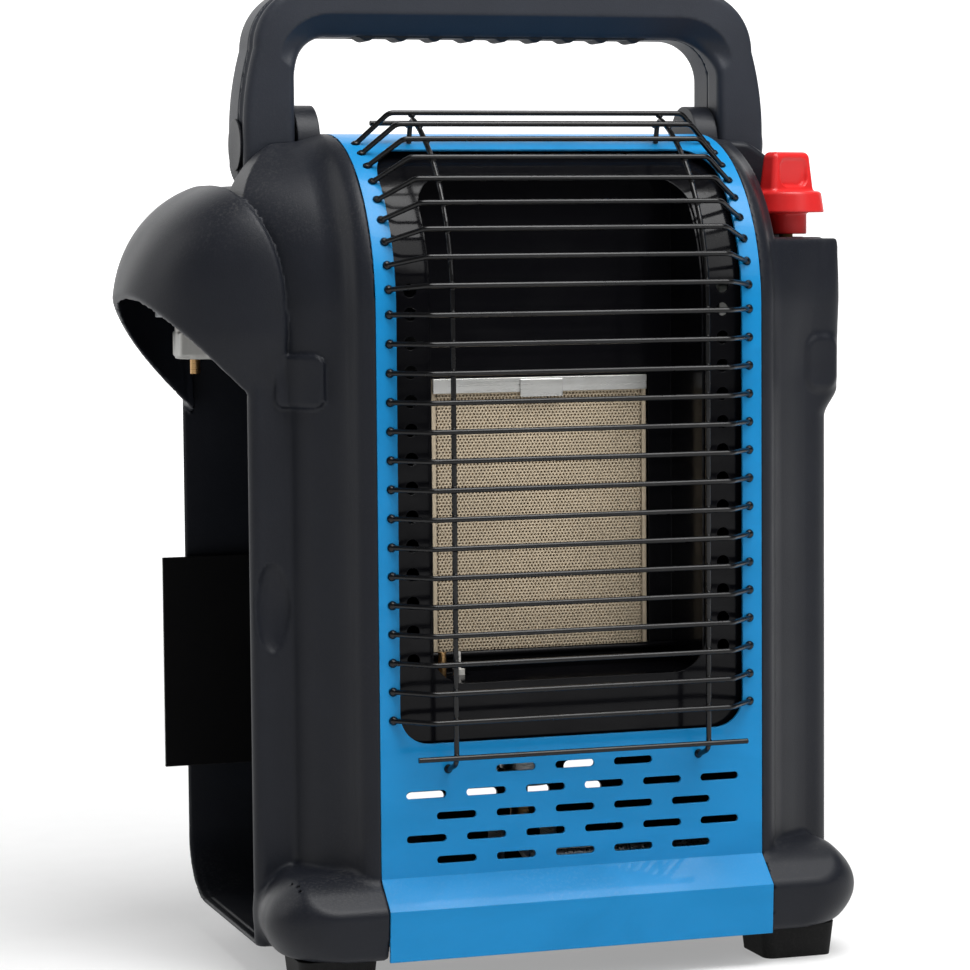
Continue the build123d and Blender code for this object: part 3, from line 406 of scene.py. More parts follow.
def slope_of(field, points, reach):
    """Gradient of a field at some points."""
    parts = []
    for axis in range(3):
        ahead, behind = points.copy(), points.copy()
        ahead[:, axis] += reach
        behind[:, axis] -= reach
        parts.append((field(*ahead.T) - field(*behind.T)) / (2 * reach))
    return np.stack(parts, axis=1)


def spaced(low, high, step, calm):
    """Grid lines from low to high, wider apart over a calm stretch."""
    lines = [low - step]
    while lines[-1] < high + step:
        wide = calm is not None and calm[0] < lines[-1] < calm[1]
        lines.append(lines[-1] + step * (2.4 if wide else 1.0))
    return np.array(lines)


def cell_points(grid, values):
    """The mean crossing point of each grid cell that the surface crosses, and the cells' numbers."""
    inside = values < 0
    shape = tuple(n - 1 for n in values.shape)
    total = np.zeros(shape + (3,))
    count = np.zeros(shape)
    for axis in range(3):
        others = [k for k in range(3) if k != axis]
        for offsets in ((0, 0), (0, 1), (1, 0), (1, 1)):
            start = [slice(0, shape[axis])] * 3
            for k, offset in zip(others, offsets):
                start[k] = slice(offset, offset + shape[k])
            end = list(start)
            end[axis] = slice(1, shape[axis] + 1)
            start, end = tuple(start), tuple(end)
            crossed = inside[start] != inside[end]
            a, b = values[start][crossed], values[end][crossed]
            share = (a / (a - b))[:, None]
            low_end = np.stack([lines[start][crossed] for lines in grid], axis=1)
            high_end = np.stack([lines[end][crossed] for lines in grid], axis=1)
            total[crossed] += low_end + share * (high_end - low_end)
            count[crossed] += 1
    active = count > 0
    index = np.full(shape, -1)
    index[active] = np.arange(active.sum())
    return total[active] / count[active][:, None], index


def settled(field, cells, step):
    """The points moved onto the surface, none of them far from its cell."""
    points = cells.copy()
    for _ in range(3):
        gradient = slope_of(field, points, 0.05)
        length = np.sum(gradient * gradient, axis=1) + 1e-6
        points = points - gradient * (field(*points.T) / length)[:, None]
        points = cells + np.clip(points - cells, -0.6 * step, 0.6 * step)
    return points


def cell_quads(inside, index):
    """A face across every grid edge that the surface crosses, wound to face outwards."""
    quads = []
    for axis in range(3):
        u, v = (axis + 1) % 3, (axis + 2) % 3
        span = [slice(1, n - 1) for n in inside.shape]
        span[axis] = slice(0, index.shape[axis])
        ahead = list(span)
        ahead[axis] = slice(1, inside.shape[axis])
        start, end = inside[tuple(span)], inside[tuple(ahead)]
        for flip, mask in ((False, start & ~end), (True, end & ~start)):
            crossings = np.argwhere(mask)
            crossings[:, u] += 1
            crossings[:, v] += 1
            corners = []
            for du, dv in ((-1, -1), (0, -1), (0, 0), (-1, 0)):
                cell = crossings.copy()
                cell[:, u] += du
                cell[:, v] += dv
                corners.append(index[tuple(cell.T)])
            quads.append(np.stack(corners[::-1] if flip else corners, axis=1))
    return np.concatenate(quads)


def skin_mesh(name, field, low, high, step, calm=None):
    """Mesh of a field's zero surface, smooth shaded by the field's own slope."""
    axes = [spaced(low[k], high[k], step, calm if k == 2 else None) for k in range(3)]
    grid = np.meshgrid(*axes, indexing="ij")
    values = field(*grid)
    cells, index = cell_points(grid, values)
    points = settled(field, cells, step)
    normals = slope_of(field, points, 0.35 * step)
    normals /= np.linalg.norm(normals, axis=1)[:, None] + 1e-9
    return plain_mesh(name, points, cell_quads(values < 0, index), normals)


def plain_mesh(name, points, quads, normals):
    """Mesh object from arrays in the heater's millimetres."""
    mesh = bpy.data.meshes.new(name)
    mesh.vertices.add(len(points))
    shifted = points / 1000.0 + np.array([SHIFT_X, SHIFT_Y, 0.0])
    mesh.vertices.foreach_set("co", shifted.astype(np.float32).ravel())
    mesh.loops.add(quads.size)
    mesh.loops.foreach_set("vertex_index", quads.astype(np.int32).ravel())
    mesh.polygons.add(len(quads))
    mesh.polygons.foreach_set("loop_start", np.arange(0, quads.size, quads.shape[1], dtype=np.int32))
    mesh.polygons.foreach_set("use_smooth", np.ones(len(quads), dtype=bool))
    mesh.update(calc_edges=True)
    mesh.validate()
    if len(normals) == len(mesh.vertices):
        mesh.normals_split_custom_set_from_vertices([tuple(n) for n in normals])
    piece = bpy.data.objects.new(name, mesh)
    bpy.context.scene.collection.objects.link(piece)
    return piece


def stand_for(piece, body, slot, *replaced):
    """Give a piece its finish and body, and hide the CAD nodes that it replaces."""
    piece.data.materials.clear()
    piece.data.materials.append(FINISHES[slot])
    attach(piece, body)
    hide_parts(*replaced)
    return piece


# ---- side shells ----------------------------------------------------------------------
TOP, BACK, FLOOR = 335.0, 165.0, 13.6       # reach of the body above its feet
ROLL, REAR_ROLL = 70.0, 60.0                # radii of the top's front and rear roll
ROLL_START = TOP - ROLL
RIM_HALF, SHELL_INNER = 88.0, 80.0          # outer and inner side of the rim beside the blue sheet
POD_HALF, POD_FRONT, POD_BACK = 122.6, 30.5, 150.0
BULGE_HALF = 129.0                          # right pod over the gas valve
WALL = 3.0
FLARE_HALF, FLARE_FRONT = 123.8, -12.0      # widest and foremost reach of the flared foot
FLARE_CREASE, FLARE_TOP = 33.6, 46.0
DECK_X, DECK_Y, DECK_Z = 90.7, 71.4, 314.4  # flat behind and beside the handle's lugs
LUG_NOTCH = ((81.4, 71.9, 306.9), (90.8, 104.1, 345.0))
SHELF_X, SHELF_Y, SHELF_Z = 94.5, 66.0, 292.0
KNOB_X, KNOB_Y = 111.5, 48.0
WELL_RADIUS, WELL_BOTTOM = 8.9, 280.0       # round opening in the shelf for the knob's skirt
PAD_HALF_HEIGHT = 10.4
LEFT_PAD, RIGHT_PAD = (-104.6, 237.8), (119.2, 240.5)
DIMPLE, DIMPLE_RADII = (-114.8, 30.3, 149.0), (7.2, 2.9, 17.0)
BAY_FRONT, BAY_BACK, BAY_FLOOR, BAY_TOP = 36.0, 147.0, 16.2, 300.0
BAY_INNER, BAY_LAP = 72.0, 81.0             # the bay's tube ends inside the body, and laps the shell
HOOD_X, HOOD_Y, HOOD_Z = -112.0, 88.0, 259.0
HOOD_REACH, HOOD_DEPTH, HOOD_RISE = 51.2, 60.0, 58.0
HOOD_SQUARE = 3.4                           # 2 would be round seen from the side, more is squarer
HOOD_OUTER = -162.0


def roll_back(z):
    """How far the rolled top of the body has moved back at a height."""
    return ROLL - np.sqrt(np.maximum(ROLL ** 2 - np.clip(z - ROLL_START, 0, ROLL - 1) ** 2, 1.0))


def strip_front(z):
    """Front of the pod's outer strip, which follows the roll of the top."""
    return POD_FRONT + 0.85 * roll_back(z)


def column_side(ax, y, z):
    """Side face of the column, from the rim back to its crease with the pod's front."""
    crease = 107.0 + 5.0 * ramp(z, 232, 272) + 11.0 * ramp(z, 268, 318)
    rim_y = 8.0 + roll_back(z)
    dx, dy = crease - RIM_HALF, strip_front(z) - rim_y
    length = np.hypot(dx, dy)
    along = np.clip(((ax - RIM_HALF) * dx + (y - rim_y) * dy) / length ** 2, 0, 1)
    return ((ax - RIM_HALF) * dy - (y - rim_y) * dx) / length - 5.0 * along * (1 - along)


def flare(ax, y, z):
    """Rounded foot that swells out of the column and the pod."""
    half_height = 14.4
    side = FLARE_HALF - 7.5 * ((z - FLOOR - half_height) / half_height) ** 2
    front = FLARE_FRONT + 4.0 * ((FLARE_CREASE - z) / 20.0) ** 2
    side = side - 2.0 * ramp(y, 16, 36)
    form = meet(ax - side, front - y, 24.0)
    slope = (z - FLARE_CREASE - 0.883 * (y - FLARE_FRONT)) * 0.75
    form = meet(form, meet(slope, z - FLARE_TOP, 6.0), 1.6)
    return np.maximum(form, y - 60.0)


def pod(ax, y, z, corner, crease, widened=0.0):
    """Solid side pod with its column, shoulder and flared foot, not yet hollow."""
    profile = np.maximum(meet(-y, z - TOP, ROLL), meet(y - BACK, z - TOP, REAR_ROLL))
    rim = meet(ax - RIM_HALF, profile, 8.0)
    column = join(rim, meet(column_side(ax, y, z), profile, 22.0), 8.0)
    strip = meet((strip_front(z) - y) * 0.9, ax - POD_HALF - widened, corner + 9.0 * ramp(z, 292, 318))
    strip = meet(strip, profile, 5.0)
    form = join(column, strip, crease)
    form = np.maximum(form, meet(ax - POD_HALF - widened, z - TOP, 36.0))
    form = meet(form, FLOOR - z, 2.5)
    form = join(form, meet(flare(ax, y, z), FLOOR - z, 3.0), 3.0)
    chamfer = (ax - 102.0 + 0.4 * (y - POD_BACK)) * 0.93
    rear = np.minimum(y - POD_BACK, np.maximum(y - BACK, chamfer))
    form = meet(form, rear, 2.5 + 8.0 * ramp(z, 280, 302))
    deck = np.maximum(np.maximum(DECK_X - ax, DECK_Y - y), DECK_Z - z)
    form = carve(form, deck, 2.0 + 8.0 * ramp(y, 105, 135))
    heel = np.minimum(meet(y - POD_BACK, FLOOR - z, 28.0), ax - 99.0)
    return meet(form, heel, 1.5)


def pod_wall(z):
    """Wall thickness, fuller under the rounded shoulder."""
    return WALL + 1.4 * ramp(z, 250, 285)


def lug_notch(ax, y, z):
    """Room for the handle's lug in the top of a shell."""
    return cuboid(ax, y, z, *LUG_NOTCH)


def front_pad(form, x, y, z, middle, half_width, corner, proud, edge, depth):
    """Low pad raised on the front of a pod, its middle at (x, z), its sides running back."""
    outline = meet(np.abs(x - middle[0]) - half_width, np.abs(z - middle[1]) - PAD_HALF_HEIGHT, corner)
    return meet(meet(form - proud, outline, edge), y - depth)


def right_shell(x, y, z):
    """Right side: a plain pod, wider over the gas valve, with the knob's shelf and well."""
    widened = (BULGE_HALF - POD_HALF) * ramp(z, 218, 230) * (1 - ramp(y, 76, 94))
    narrow = pod(x, y, z, 5.0, 10.0)
    wide = pod(x, y, z, 7.0, 14.0, widened)
    form = np.minimum(narrow, meet(wide, z - SHELF_Z, 1.5))
    pad = front_pad(form, x, y, z, RIGHT_PAD, half_width=7.0, corner=5.0, proud=1.3, edge=1.2,
                    depth=40.0)
    form = join(form, pad, 3.0)
    shelf = np.maximum(np.maximum(SHELF_X - x, y - SHELF_Y), SHELF_Z - z)
    form = carve(form, shelf, 2.2)
    hollow = np.maximum(form, -(form + pod_wall(z)))
    hollow = np.maximum(hollow, SHELL_INNER - x)
    hollow = carve(hollow, lug_notch(x, y, z))
    well = np.maximum(np.hypot(x - KNOB_X, y - KNOB_Y) - WELL_RADIUS, WELL_BOTTOM - z)
    return carve(hollow, well, 0.6)


def hood_dome(x, y, z):
    """Outer face of the regulator hood: a dome on a skirt, its front full up to the shoulder."""
    tuck = 7.0 * ramp(HOOD_Z - z, 0, 34)
    px = (x - HOOD_X) / HOOD_REACH
    py = (y - HOOD_Y) / (HOOD_DEPTH - tuck + 3.0 * (y < HOOD_Y))
    pz = np.maximum(z - HOOD_Z, 0.0) / HOOD_RISE
    across = (np.abs(py) ** HOOD_SQUARE + pz ** HOOD_SQUARE) ** (1 / HOOD_SQUARE) + 1e-9
    near = np.hypot(px, across) + 1e-9
    slope_y = (np.abs(py) / across) ** (HOOD_SQUARE - 1) * across / HOOD_DEPTH
    slope_z = (pz / across) ** (HOOD_SQUARE - 1) * across / HOOD_RISE
    rate = np.sqrt((px / HOOD_REACH) ** 2 + slope_y ** 2 + slope_z ** 2) + 1e-9
    return near * (near - 1.0) / rate


def hood_hem(x, y):
    """Height of the hood's lower edge, which falls towards the pod in a slight wave."""
    away = x - HOOD_OUTER
    return 271.5 - 1.08 * away - 0.09 * (y - HOOD_Y) - 1.6 * np.sin(away * 0.07)


def hood_seam(z):
    """How far from the middle the hood ends on the pod, further out towards its crown."""
    return 108.0 + 19.4 * np.clip((z - 255.0) / 64.0, 0, 1.2) ** 2.4


def bay_outline(y, z):
    """The cylinder bay seen from the side, its lower rear corner rounded."""
    opening = meet(meet(BAY_FRONT - y, y - BAY_BACK), meet(z - BAY_TOP, BAY_FLOOR - z))
    return np.maximum(opening, meet(y - BAY_BACK, BAY_FLOOR - z, 25.4))


def left_shell(x, y, z):
    """Left side: the pod with the cylinder bay, its thumb dimple, and the hood in one skin."""
    ax = -x
    form = pod(ax, y, z, 4.0, 1.5)
    dome = hood_dome(x, y, z)
    hem = (hood_hem(x, y) - z) * 0.66
    cover = meet(meet(dome, hem, 0.8), x + hood_seam(z), 2.0)
    whole = join(form, cover, 0.6)
    pad = front_pad(form, x, y, z, LEFT_PAD, half_width=8.2, corner=4.0, proud=2.2, edge=1.6,
                    depth=34.0)
    whole = join(whole, pad, 1.2)
    whole = carve(whole, ball(x, y, z, DIMPLE, DIMPLE_RADII), 0.8)
    bay = bay_outline(y, z)
    mouth = np.maximum(np.maximum(bay, np.minimum(-hem, dome + WALL)), -POD_HALF - 0.4 - x)
    mouth = np.maximum(mouth, x + POD_HALF - WALL - 0.8)
    room = np.maximum(np.maximum(bay, form + WALL), WALL - POD_HALF - x)
    walled = np.maximum(form, -bay)
    whole = carve(whole, np.minimum(mouth, room), 0.9)
    whole = carve(whole, np.maximum(dome + WALL, x + POD_HALF), 0.8)
    whole = np.maximum(whole, -(walled + pod_wall(z)))
    whole = np.maximum(whole, SHELL_INNER - ax)
    bay_tube = np.maximum(np.maximum(bay - WALL, -bay), np.maximum(BAY_INNER - ax, ax - BAY_LAP))
    whole = np.minimum(whole, bay_tube)
    deck_trim = np.maximum(np.maximum(-113.4 - x, z - 345.0), DECK_Z - z)
    deck_trim = np.maximum(deck_trim, DECK_Y - y)
    whole = np.where(ax > DECK_X, np.maximum(whole, -deck_trim), whole)
    return carve(whole, lug_notch(ax, y, z))


def make_side_shells():
    """Both shells, with wider grid lines up the stretch where their section stays the same."""
    right = skin_mesh("right_shell", right_shell, (SHELL_INNER, FLARE_FRONT, FLOOR),
                      (130.6, BACK, TOP), 1.3, (62, 206))
    stand_for(right, "housing", "charcoal_plastic", "right_side_shell")
    left = skin_mesh("left_shell_and_hood", left_shell, (HOOD_OUTER, FLARE_FRONT, FLOOR),
                     (-72, BACK, TOP), 1.36, (62, 130))
    stand_for(left, "housing", "charcoal_plastic", "left_side_shell", "regulator_hood")


# ---- handle ---------------------------------------------------------------------------
PIVOT_Y, PIVOT_Z = 88.0, 331.0
HANDLE_HALF, HANDLE_TOP = 112.5, 394.6
HANDLE_UNDER = 374.6                        # underside of the bar
ARM_HALF = 16.0                             # half the arms' depth, and the round of their ends
PARTING = 85.0                              # where the front and the rear half meet
CORNER_X, CORNER_Z, CORNER_RADIUS = 82.8, 369.6, 25.0
ARM_INNER, INNER_RADIUS = 91.4, 17.0        # inner side of the arms, and its round under the bar
GROOVE_Y = 80.6
GRIP_RECESS = ((-63.0, 83.0, 370.0), (63.0, 97.0, 376.7))
HANDLE_SCREWS = ((-101, 352), (101, 352), (-50, 384.6), (50, 384.6))


def arch(x, y, z):
    """Carrying handle: grooved outer side and a tall bevel below the bar."""
    ax = np.abs(x)
    side = HANDLE_HALF - 4.7 * np.clip((z - 336.0) / 33.6, 0, 1) ** 2
    outer = np.maximum(ax - side, z - HANDLE_TOP)
    corner = np.hypot(ax - CORNER_X, z - CORNER_Z) - CORNER_RADIUS
    outer = np.where((ax > CORNER_X) & (z > CORNER_Z), corner, outer)
    inner = meet(ax - ARM_INNER, z - HANDLE_UNDER, INNER_RADIUS)
    across = meet(outer, -inner, 1.6)
    bar = ramp(z, 360.0, 378.0)
    bevel = bar * np.clip(9.5 - inner, 0, 9.5) * 1.05
    slant = 1.6 * np.clip(1 + outer / 19.0, 0, 1)
    front = (PIVOT_Y - 15.9 + np.maximum(slant, bevel) - y) * 0.86
    form = meet(across, front, 3.0)
    form = meet(form, y - PIVOT_Y - ARM_HALF, 4.5)
    groove = np.hypot(outer * 1.1, (y - GROOVE_Y) * 0.62) - 1.7
    form = carve(form, groove, 0.8)
    from_pivot = np.hypot(y - PIVOT_Y, z - PIVOT_Z)
    end = np.where(z < PIVOT_Z, from_pivot - ARM_HALF, -5.0)
    form = meet(form, end, 1.5)
    pin = np.maximum(from_pivot - 4.25, ax - 108.0)
    form = np.maximum(form, -pin)
    form = np.maximum(form, -cuboid(x, y, z, *GRIP_RECESS, 0.5))
    for sx, sz in HANDLE_SCREWS:
        hole = np.minimum(np.maximum(np.hypot(x - sx, z - sz) - 3.4, 102.2 - y),
                          np.maximum(np.hypot(x - sx, z - sz) - 1.9, 93.6 - y))
        form = np.maximum(form, -hole)
    return form


def make_handle():
    """Two halves that meet in a fine groove, in a grained copy of the charcoal plastic made lighter as
    painted light for the handle's lit faces.
    """
    bottom = PIVOT_Z - ARM_HALF
    front = skin_mesh("handle_front", lambda x, y, z: meet(arch(x, y, z), y - PARTING + 0.05, 0.5),
                      (-HANDLE_HALF, PIVOT_Y - ARM_HALF, bottom), (HANDLE_HALF, PARTING, HANDLE_TOP), 1.1)
    stand_for(front, "handle", "charcoal_plastic", "handle_front_shell")
    rear = skin_mesh("handle_rear", lambda x, y, z: meet(arch(x, y, z), PARTING + 0.05 - y, 0.5),
                     (-HANDLE_HALF, PARTING, bottom), (HANDLE_HALF, PIVOT_Y + ARM_HALF, HANDLE_TOP), 1.1)
    stand_for(rear, "handle", "charcoal_plastic", "handle_rear_shell")
    # Painted light: a lighter copy of the charcoal plastic stands in for the light falling on the handle's
    # faces.
    lit_handle_plastic = moulded("Handle plastic painted lighter", (0.019, 0.022, 0.030, 1.0), 0.46, wear=0.25,
                      dust=0.15, specular=0.25)
    front.data.materials[0] = rear.data.materials[0] = lit_handle_plastic


def grip_field(x, y, z):
    """Soft strip with a row of rounded ribs across the palm."""
    strip = cuboid(x, y, z, (-62.9, 83.1, HANDLE_UNDER - 0.2), (62.9, 96.9, HANDLE_UNDER + 1.9), 0.6)
    rib_pitch = 14.5
    nearest = np.clip(np.round(x / rib_pitch), -4, 4) * rib_pitch
    rib = np.hypot(x - nearest, z - HANDLE_UNDER - 1.5) - 3.1
    rib = meet(rib, np.abs(y - 90.0) - 6.8, 1.2)
    return join(strip, rib, 0.9)


def make_grip():
    """Soft grip in its recess under the bar."""
    grip = skin_mesh("handle_grip_soft", grip_field, (-63, 83, 372.9), (63, 97, 376.6), 0.7)
    stand_for(grip, "handle", "soft_grip", "handle_grip")


# ---- control knob ---------------------------------------------------------------------
KNOB_TURNED = math.radians(24.0)
SKIRT_RADIUS, DISC_RADIUS = 8.3, 15.5
SKIRT_LOW, DISC_LOW, DISC_HIGH, KNOB_HIGH = 293.2, 302.0, 310.8, 327.0


def knob_field(x, y, z):
    """Red knob: skirt, tapered disc and a scooped finger bar."""
    px, py = x - KNOB_X, y - KNOB_Y
    r = np.hypot(px, py)
    skirt = meet(meet(r - SKIRT_RADIUS, SKIRT_LOW - z, 0.4), z - 304.5)
    disc_side = (r - DISC_RADIUS + (z - DISC_LOW) * 0.15) * 0.98
    disc = meet(meet(disc_side, z - DISC_HIGH, 1.4), DISC_LOW - z, 0.6)
    u = px * math.cos(KNOB_TURNED) + py * math.sin(KNOB_TURNED)
    v = -px * math.sin(KNOB_TURNED) + py * math.cos(KNOB_TURNED)
    rise = (z - 308.4) / 18.6
    bar = meet(np.abs(u) - (12.8 - 2.3 * rise), np.abs(v) - (4.8 - 1.0 * rise), 2.2)
    bar = meet(meet(bar, z - KNOB_HIGH, 2.4), 305.0 - z)
    scoop = meet(np.abs(u) - 8.0, np.abs(z - 318.6) - 5.7, 4.0)
    scoop = meet(scoop, 2.2 + 0.12 * (z - 313.0) - np.abs(v), 1.2)
    bar = carve(bar, scoop, 0.9)
    form = join(join(skirt, disc, 0.8), bar, 1.4)
    return np.maximum(form, -np.maximum(r - 3.2, z - 309.8))


def make_knob():
    """Knob on the gas valve's stem."""
    reach = DISC_RADIUS + 0.2
    knob = skin_mesh("knob", knob_field, (KNOB_X - reach, KNOB_Y - reach, SKIRT_LOW),
                     (KNOB_X + reach, KNOB_Y + reach, KNOB_HIGH), 0.55)
    stand_for(knob, "knob", "red_plastic", "control_knob")


# ---- what repeats or follows a path: geometry nodes, applied to plain meshes ----------
def geometry_tree(name, inputs):
    """Empty geometry node tree: geometry in, geometry out, and named inputs."""
    tree = bpy.data.node_groups.new(name, "GeometryNodeTree")
    tree.interface.new_socket(name="Geometry", in_out="INPUT", socket_type="NodeSocketGeometry")
    for label, kind, default in inputs:
        socket = tree.interface.new_socket(name=label, in_out="INPUT", socket_type=kind)
        if default is not None:
            socket.default_value = default
    tree.interface.new_socket(name="Geometry", in_out="OUTPUT", socket_type="NodeSocketGeometry")
    source = tree.nodes.new("NodeGroupInput")
    sink = tree.nodes.new("NodeGroupOutput")
    return tree, source.outputs, sink.inputs[0]


def named_attribute(w, name, kind):
    """A point attribute of the seed mesh, by its name."""
    made = w.node("GeometryNodeInputNamedAttribute", data_type=kind)
    made.inputs["Name"].default_value = name
    return made.outputs["Attribute"]


def placed(w, points, instance, selection=None, aim=None, seed=0):
    """Instance on points, its Z along an aim vector, spun by a seeded random angle."""
    made = w.node("GeometryNodeInstanceOnPoints")
    w.feed(made.inputs["Points"], points)
    w.feed(made.inputs["Instance"], instance)
    if selection is not None:
        w.feed(made.inputs["Selection"], selection)
    if aim is not None:
        turn = w.node("FunctionNodeAlignRotationToVector", axis="Z")
        w.feed(turn.inputs["Vector"], aim)
        spin = w.node("FunctionNodeRandomValue", data_type="FLOAT")
        full_turn = 6.283
        spin.inputs[3].default_value = full_turn
        w.feed(spin.inputs["Seed"], seed)
        about = w.node("FunctionNodeAxisAngleToRotation")
        about.inputs["Axis"].default_value = (0.0, 0.0, 1.0)
        w.feed(about.inputs["Angle"], spin.outputs[1])
        both = w.node("FunctionNodeRotateRotation", rotation_space="LOCAL")
        w.feed(both.inputs[0], turn.outputs[0])
        w.feed(both.inputs[1], about.outputs[0])
        w.feed(made.inputs["Rotation"], both.outputs[0])
    return made.outputs[0]


def finish_tree(w, geometry, sink, material):
    """Realize Instances and Set Material at the end of a tree."""
    real = w.node("GeometryNodeRealizeInstances")
    w.feed(real.inputs[0], geometry)
    paint = w.node("GeometryNodeSetMaterial")
    w.feed(paint.inputs["Geometry"], real.outputs[0])
    w.feed(paint.inputs["Material"], material)
    w.feed(sink, paint.outputs[0])


def grown(name, seed, tree, **values):
    """Run a geometry node tree on a seed mesh and keep the result as a plain mesh object."""
    carrier = bpy.data.objects.new(name + "_seed", seed)
    bpy.context.scene.collection.objects.link(carrier)
    modifier = carrier.modifiers.new("Grow", "NODES")
    modifier.node_group = tree
    for item in tree.interface.items_tree:
        key = item.name.replace(" ", "_")
        if item.in_out == "INPUT" and key in values:
            modifier[item.identifier] = values[key]
    graph = bpy.context.evaluated_depsgraph_get()
    mesh = bpy.data.meshes.new_from_object(carrier.evaluated_get(graph))
    carrier.modifiers.remove(modifier)
    bpy.data.objects.remove(carrier)
    mesh.name = name
    piece = bpy.data.objects.new(name, mesh)
    bpy.context.scene.collection.objects.link(piece)
    return piece


def seed_mesh(name, points, edges=(), **attributes):
    """Mesh of points and edges in the heater's millimetres, with point attributes."""
    mesh = bpy.data.meshes.new(name)
    mesh.from_pydata([place(*p) for p in points], list(edges), [])
    for label, values in attributes.items():
        vector = isinstance(values[0], (tuple, list))
        layer = mesh.attributes.new(label, "FLOAT_VECTOR" if vector else "FLOAT", "POINT")
        flat = np.array(values, dtype=np.float32).ravel()
        layer.data.foreach_set("vector" if vector else "value", flat)
    return mesh


# ---- grille ---------------------------------------------------------------------------
WIRE = 1.05                                 # radius
BAR_COUNT, BAR_PITCH, FIRST_BAR = 24, 11.25, 106.4
BAR_END, BAR_BEND = 75.5, 62.0              # from the middle to a bar's end and to its bend
STANDOFF = 13.0                             # from the blue sheet out to the bars
UPRIGHT_X, STRAIGHT_HALF = 52.5, 68.4
LOW_WIRE_Z = 92.4
TOP_WIRE_Y, TOP_WIRE_Z = 45.5, 338.6


def bar_place(index, out):
    """(y, z) of one grille bar, a distance out from the blue sheet."""
    run = FIRST_BAR + index * BAR_PITCH
    if run <= ROLL_START:
        return -out, run
    angle = (run - ROLL_START) / (ROLL + STANDOFF)
    reach = ROLL + out
    return ROLL - reach * math.cos(angle), ROLL_START + reach * math.sin(angle)


def wire_tree():
    """Wires swept along paths, a blob at every weld, and at every end a dark collar of painted shade where
    the wire enters its hole.
    """
    tree, source, sink = geometry_tree("Welded wire grille", [
        ("Wire radius", "NodeSocketFloat", WIRE / 1000), ("Bend radius", "NodeSocketFloat", 0.0045),
        ("Weld size", "NodeSocketFloat", 0.0015), ("Collar radius", "NodeSocketFloat", 0.0018),
        ("Material", "NodeSocketMaterial", None)])
    w = Wiring(tree)
    line = w.node("GeometryNodeMeshToCurve")
    w.feed(line.inputs[0], source["Geometry"])
    bend = w.node("GeometryNodeFilletCurve", mode="POLY")
    w.feed(bend.inputs["Curve"], line.outputs[0])
    w.feed(bend.inputs["Count"], 6)
    w.feed(bend.inputs["Radius"], source["Bend radius"])
    bend.inputs["Limit Radius"].default_value = True
    section = w.node("GeometryNodeCurvePrimitiveCircle", mode="RADIUS")
    section.inputs["Resolution"].default_value = 12
    w.feed(section.inputs["Radius"], source["Wire radius"])
    sweep = w.node("GeometryNodeCurveToMesh")
    w.feed(sweep.inputs["Curve"], bend.outputs[0])
    w.feed(sweep.inputs["Profile Curve"], section.outputs[0])
    sweep.inputs["Fill Caps"].default_value = True
    blob = w.node("GeometryNodeMeshIcoSphere")
    w.feed(blob.inputs["Radius"], source["Weld size"])
    blob.inputs["Subdivisions"].default_value = 2
    squashed = w.node("GeometryNodeTransform")
    w.feed(squashed.inputs["Geometry"], blob.outputs[0])
    squashed.inputs["Scale"].default_value = (1.0, 1.0, 0.72)
    welds = placed(w, source["Geometry"], squashed.outputs[0], named_attribute(w, "weld", "FLOAT"),
                   named_attribute(w, "out", "FLOAT_VECTOR"), seed=3)
    # Painted shade: a thin dark cone round each wire's end stands in for the shade inside the hole in the
    # blue sheet.
    painted_shade_cone = w.node("GeometryNodeMeshCone")
    painted_shade_cone.inputs["Vertices"].default_value = 20
    w.feed(painted_shade_cone.inputs["Radius Top"], source["Wire radius"])
    w.feed(painted_shade_cone.inputs["Radius Bottom"], source["Collar radius"])
    painted_shade_cone.inputs["Depth"].default_value = 0.0007
    painted_shade_collars = placed(w, source["Geometry"], painted_shade_cone.outputs[0], named_attribute(w, "collar", "FLOAT"),
                     named_attribute(w, "out", "FLOAT_VECTOR"), seed=5)
    whole = w.node("GeometryNodeJoinGeometry")
    for geometry in (sweep.outputs[0], welds, painted_shade_collars):
        w.tree.links.new(geometry, whole.inputs[0])
    smooth = w.node("GeometryNodeSetShadeSmooth")
    w.feed(smooth.inputs["Geometry"], whole.outputs[0])
    finish_tree(w, smooth.outputs[0], sink, source["Material"])
    return tree


def roll_normal(y, z):
    """Outward direction of the blue sheet below a point of the grille."""
    if z <= ROLL_START:
        return (0.0, -1.0, 0.0)
    away = Vector((0.0, y - ROLL, z - ROLL_START)).normalized()
    return tuple(away)


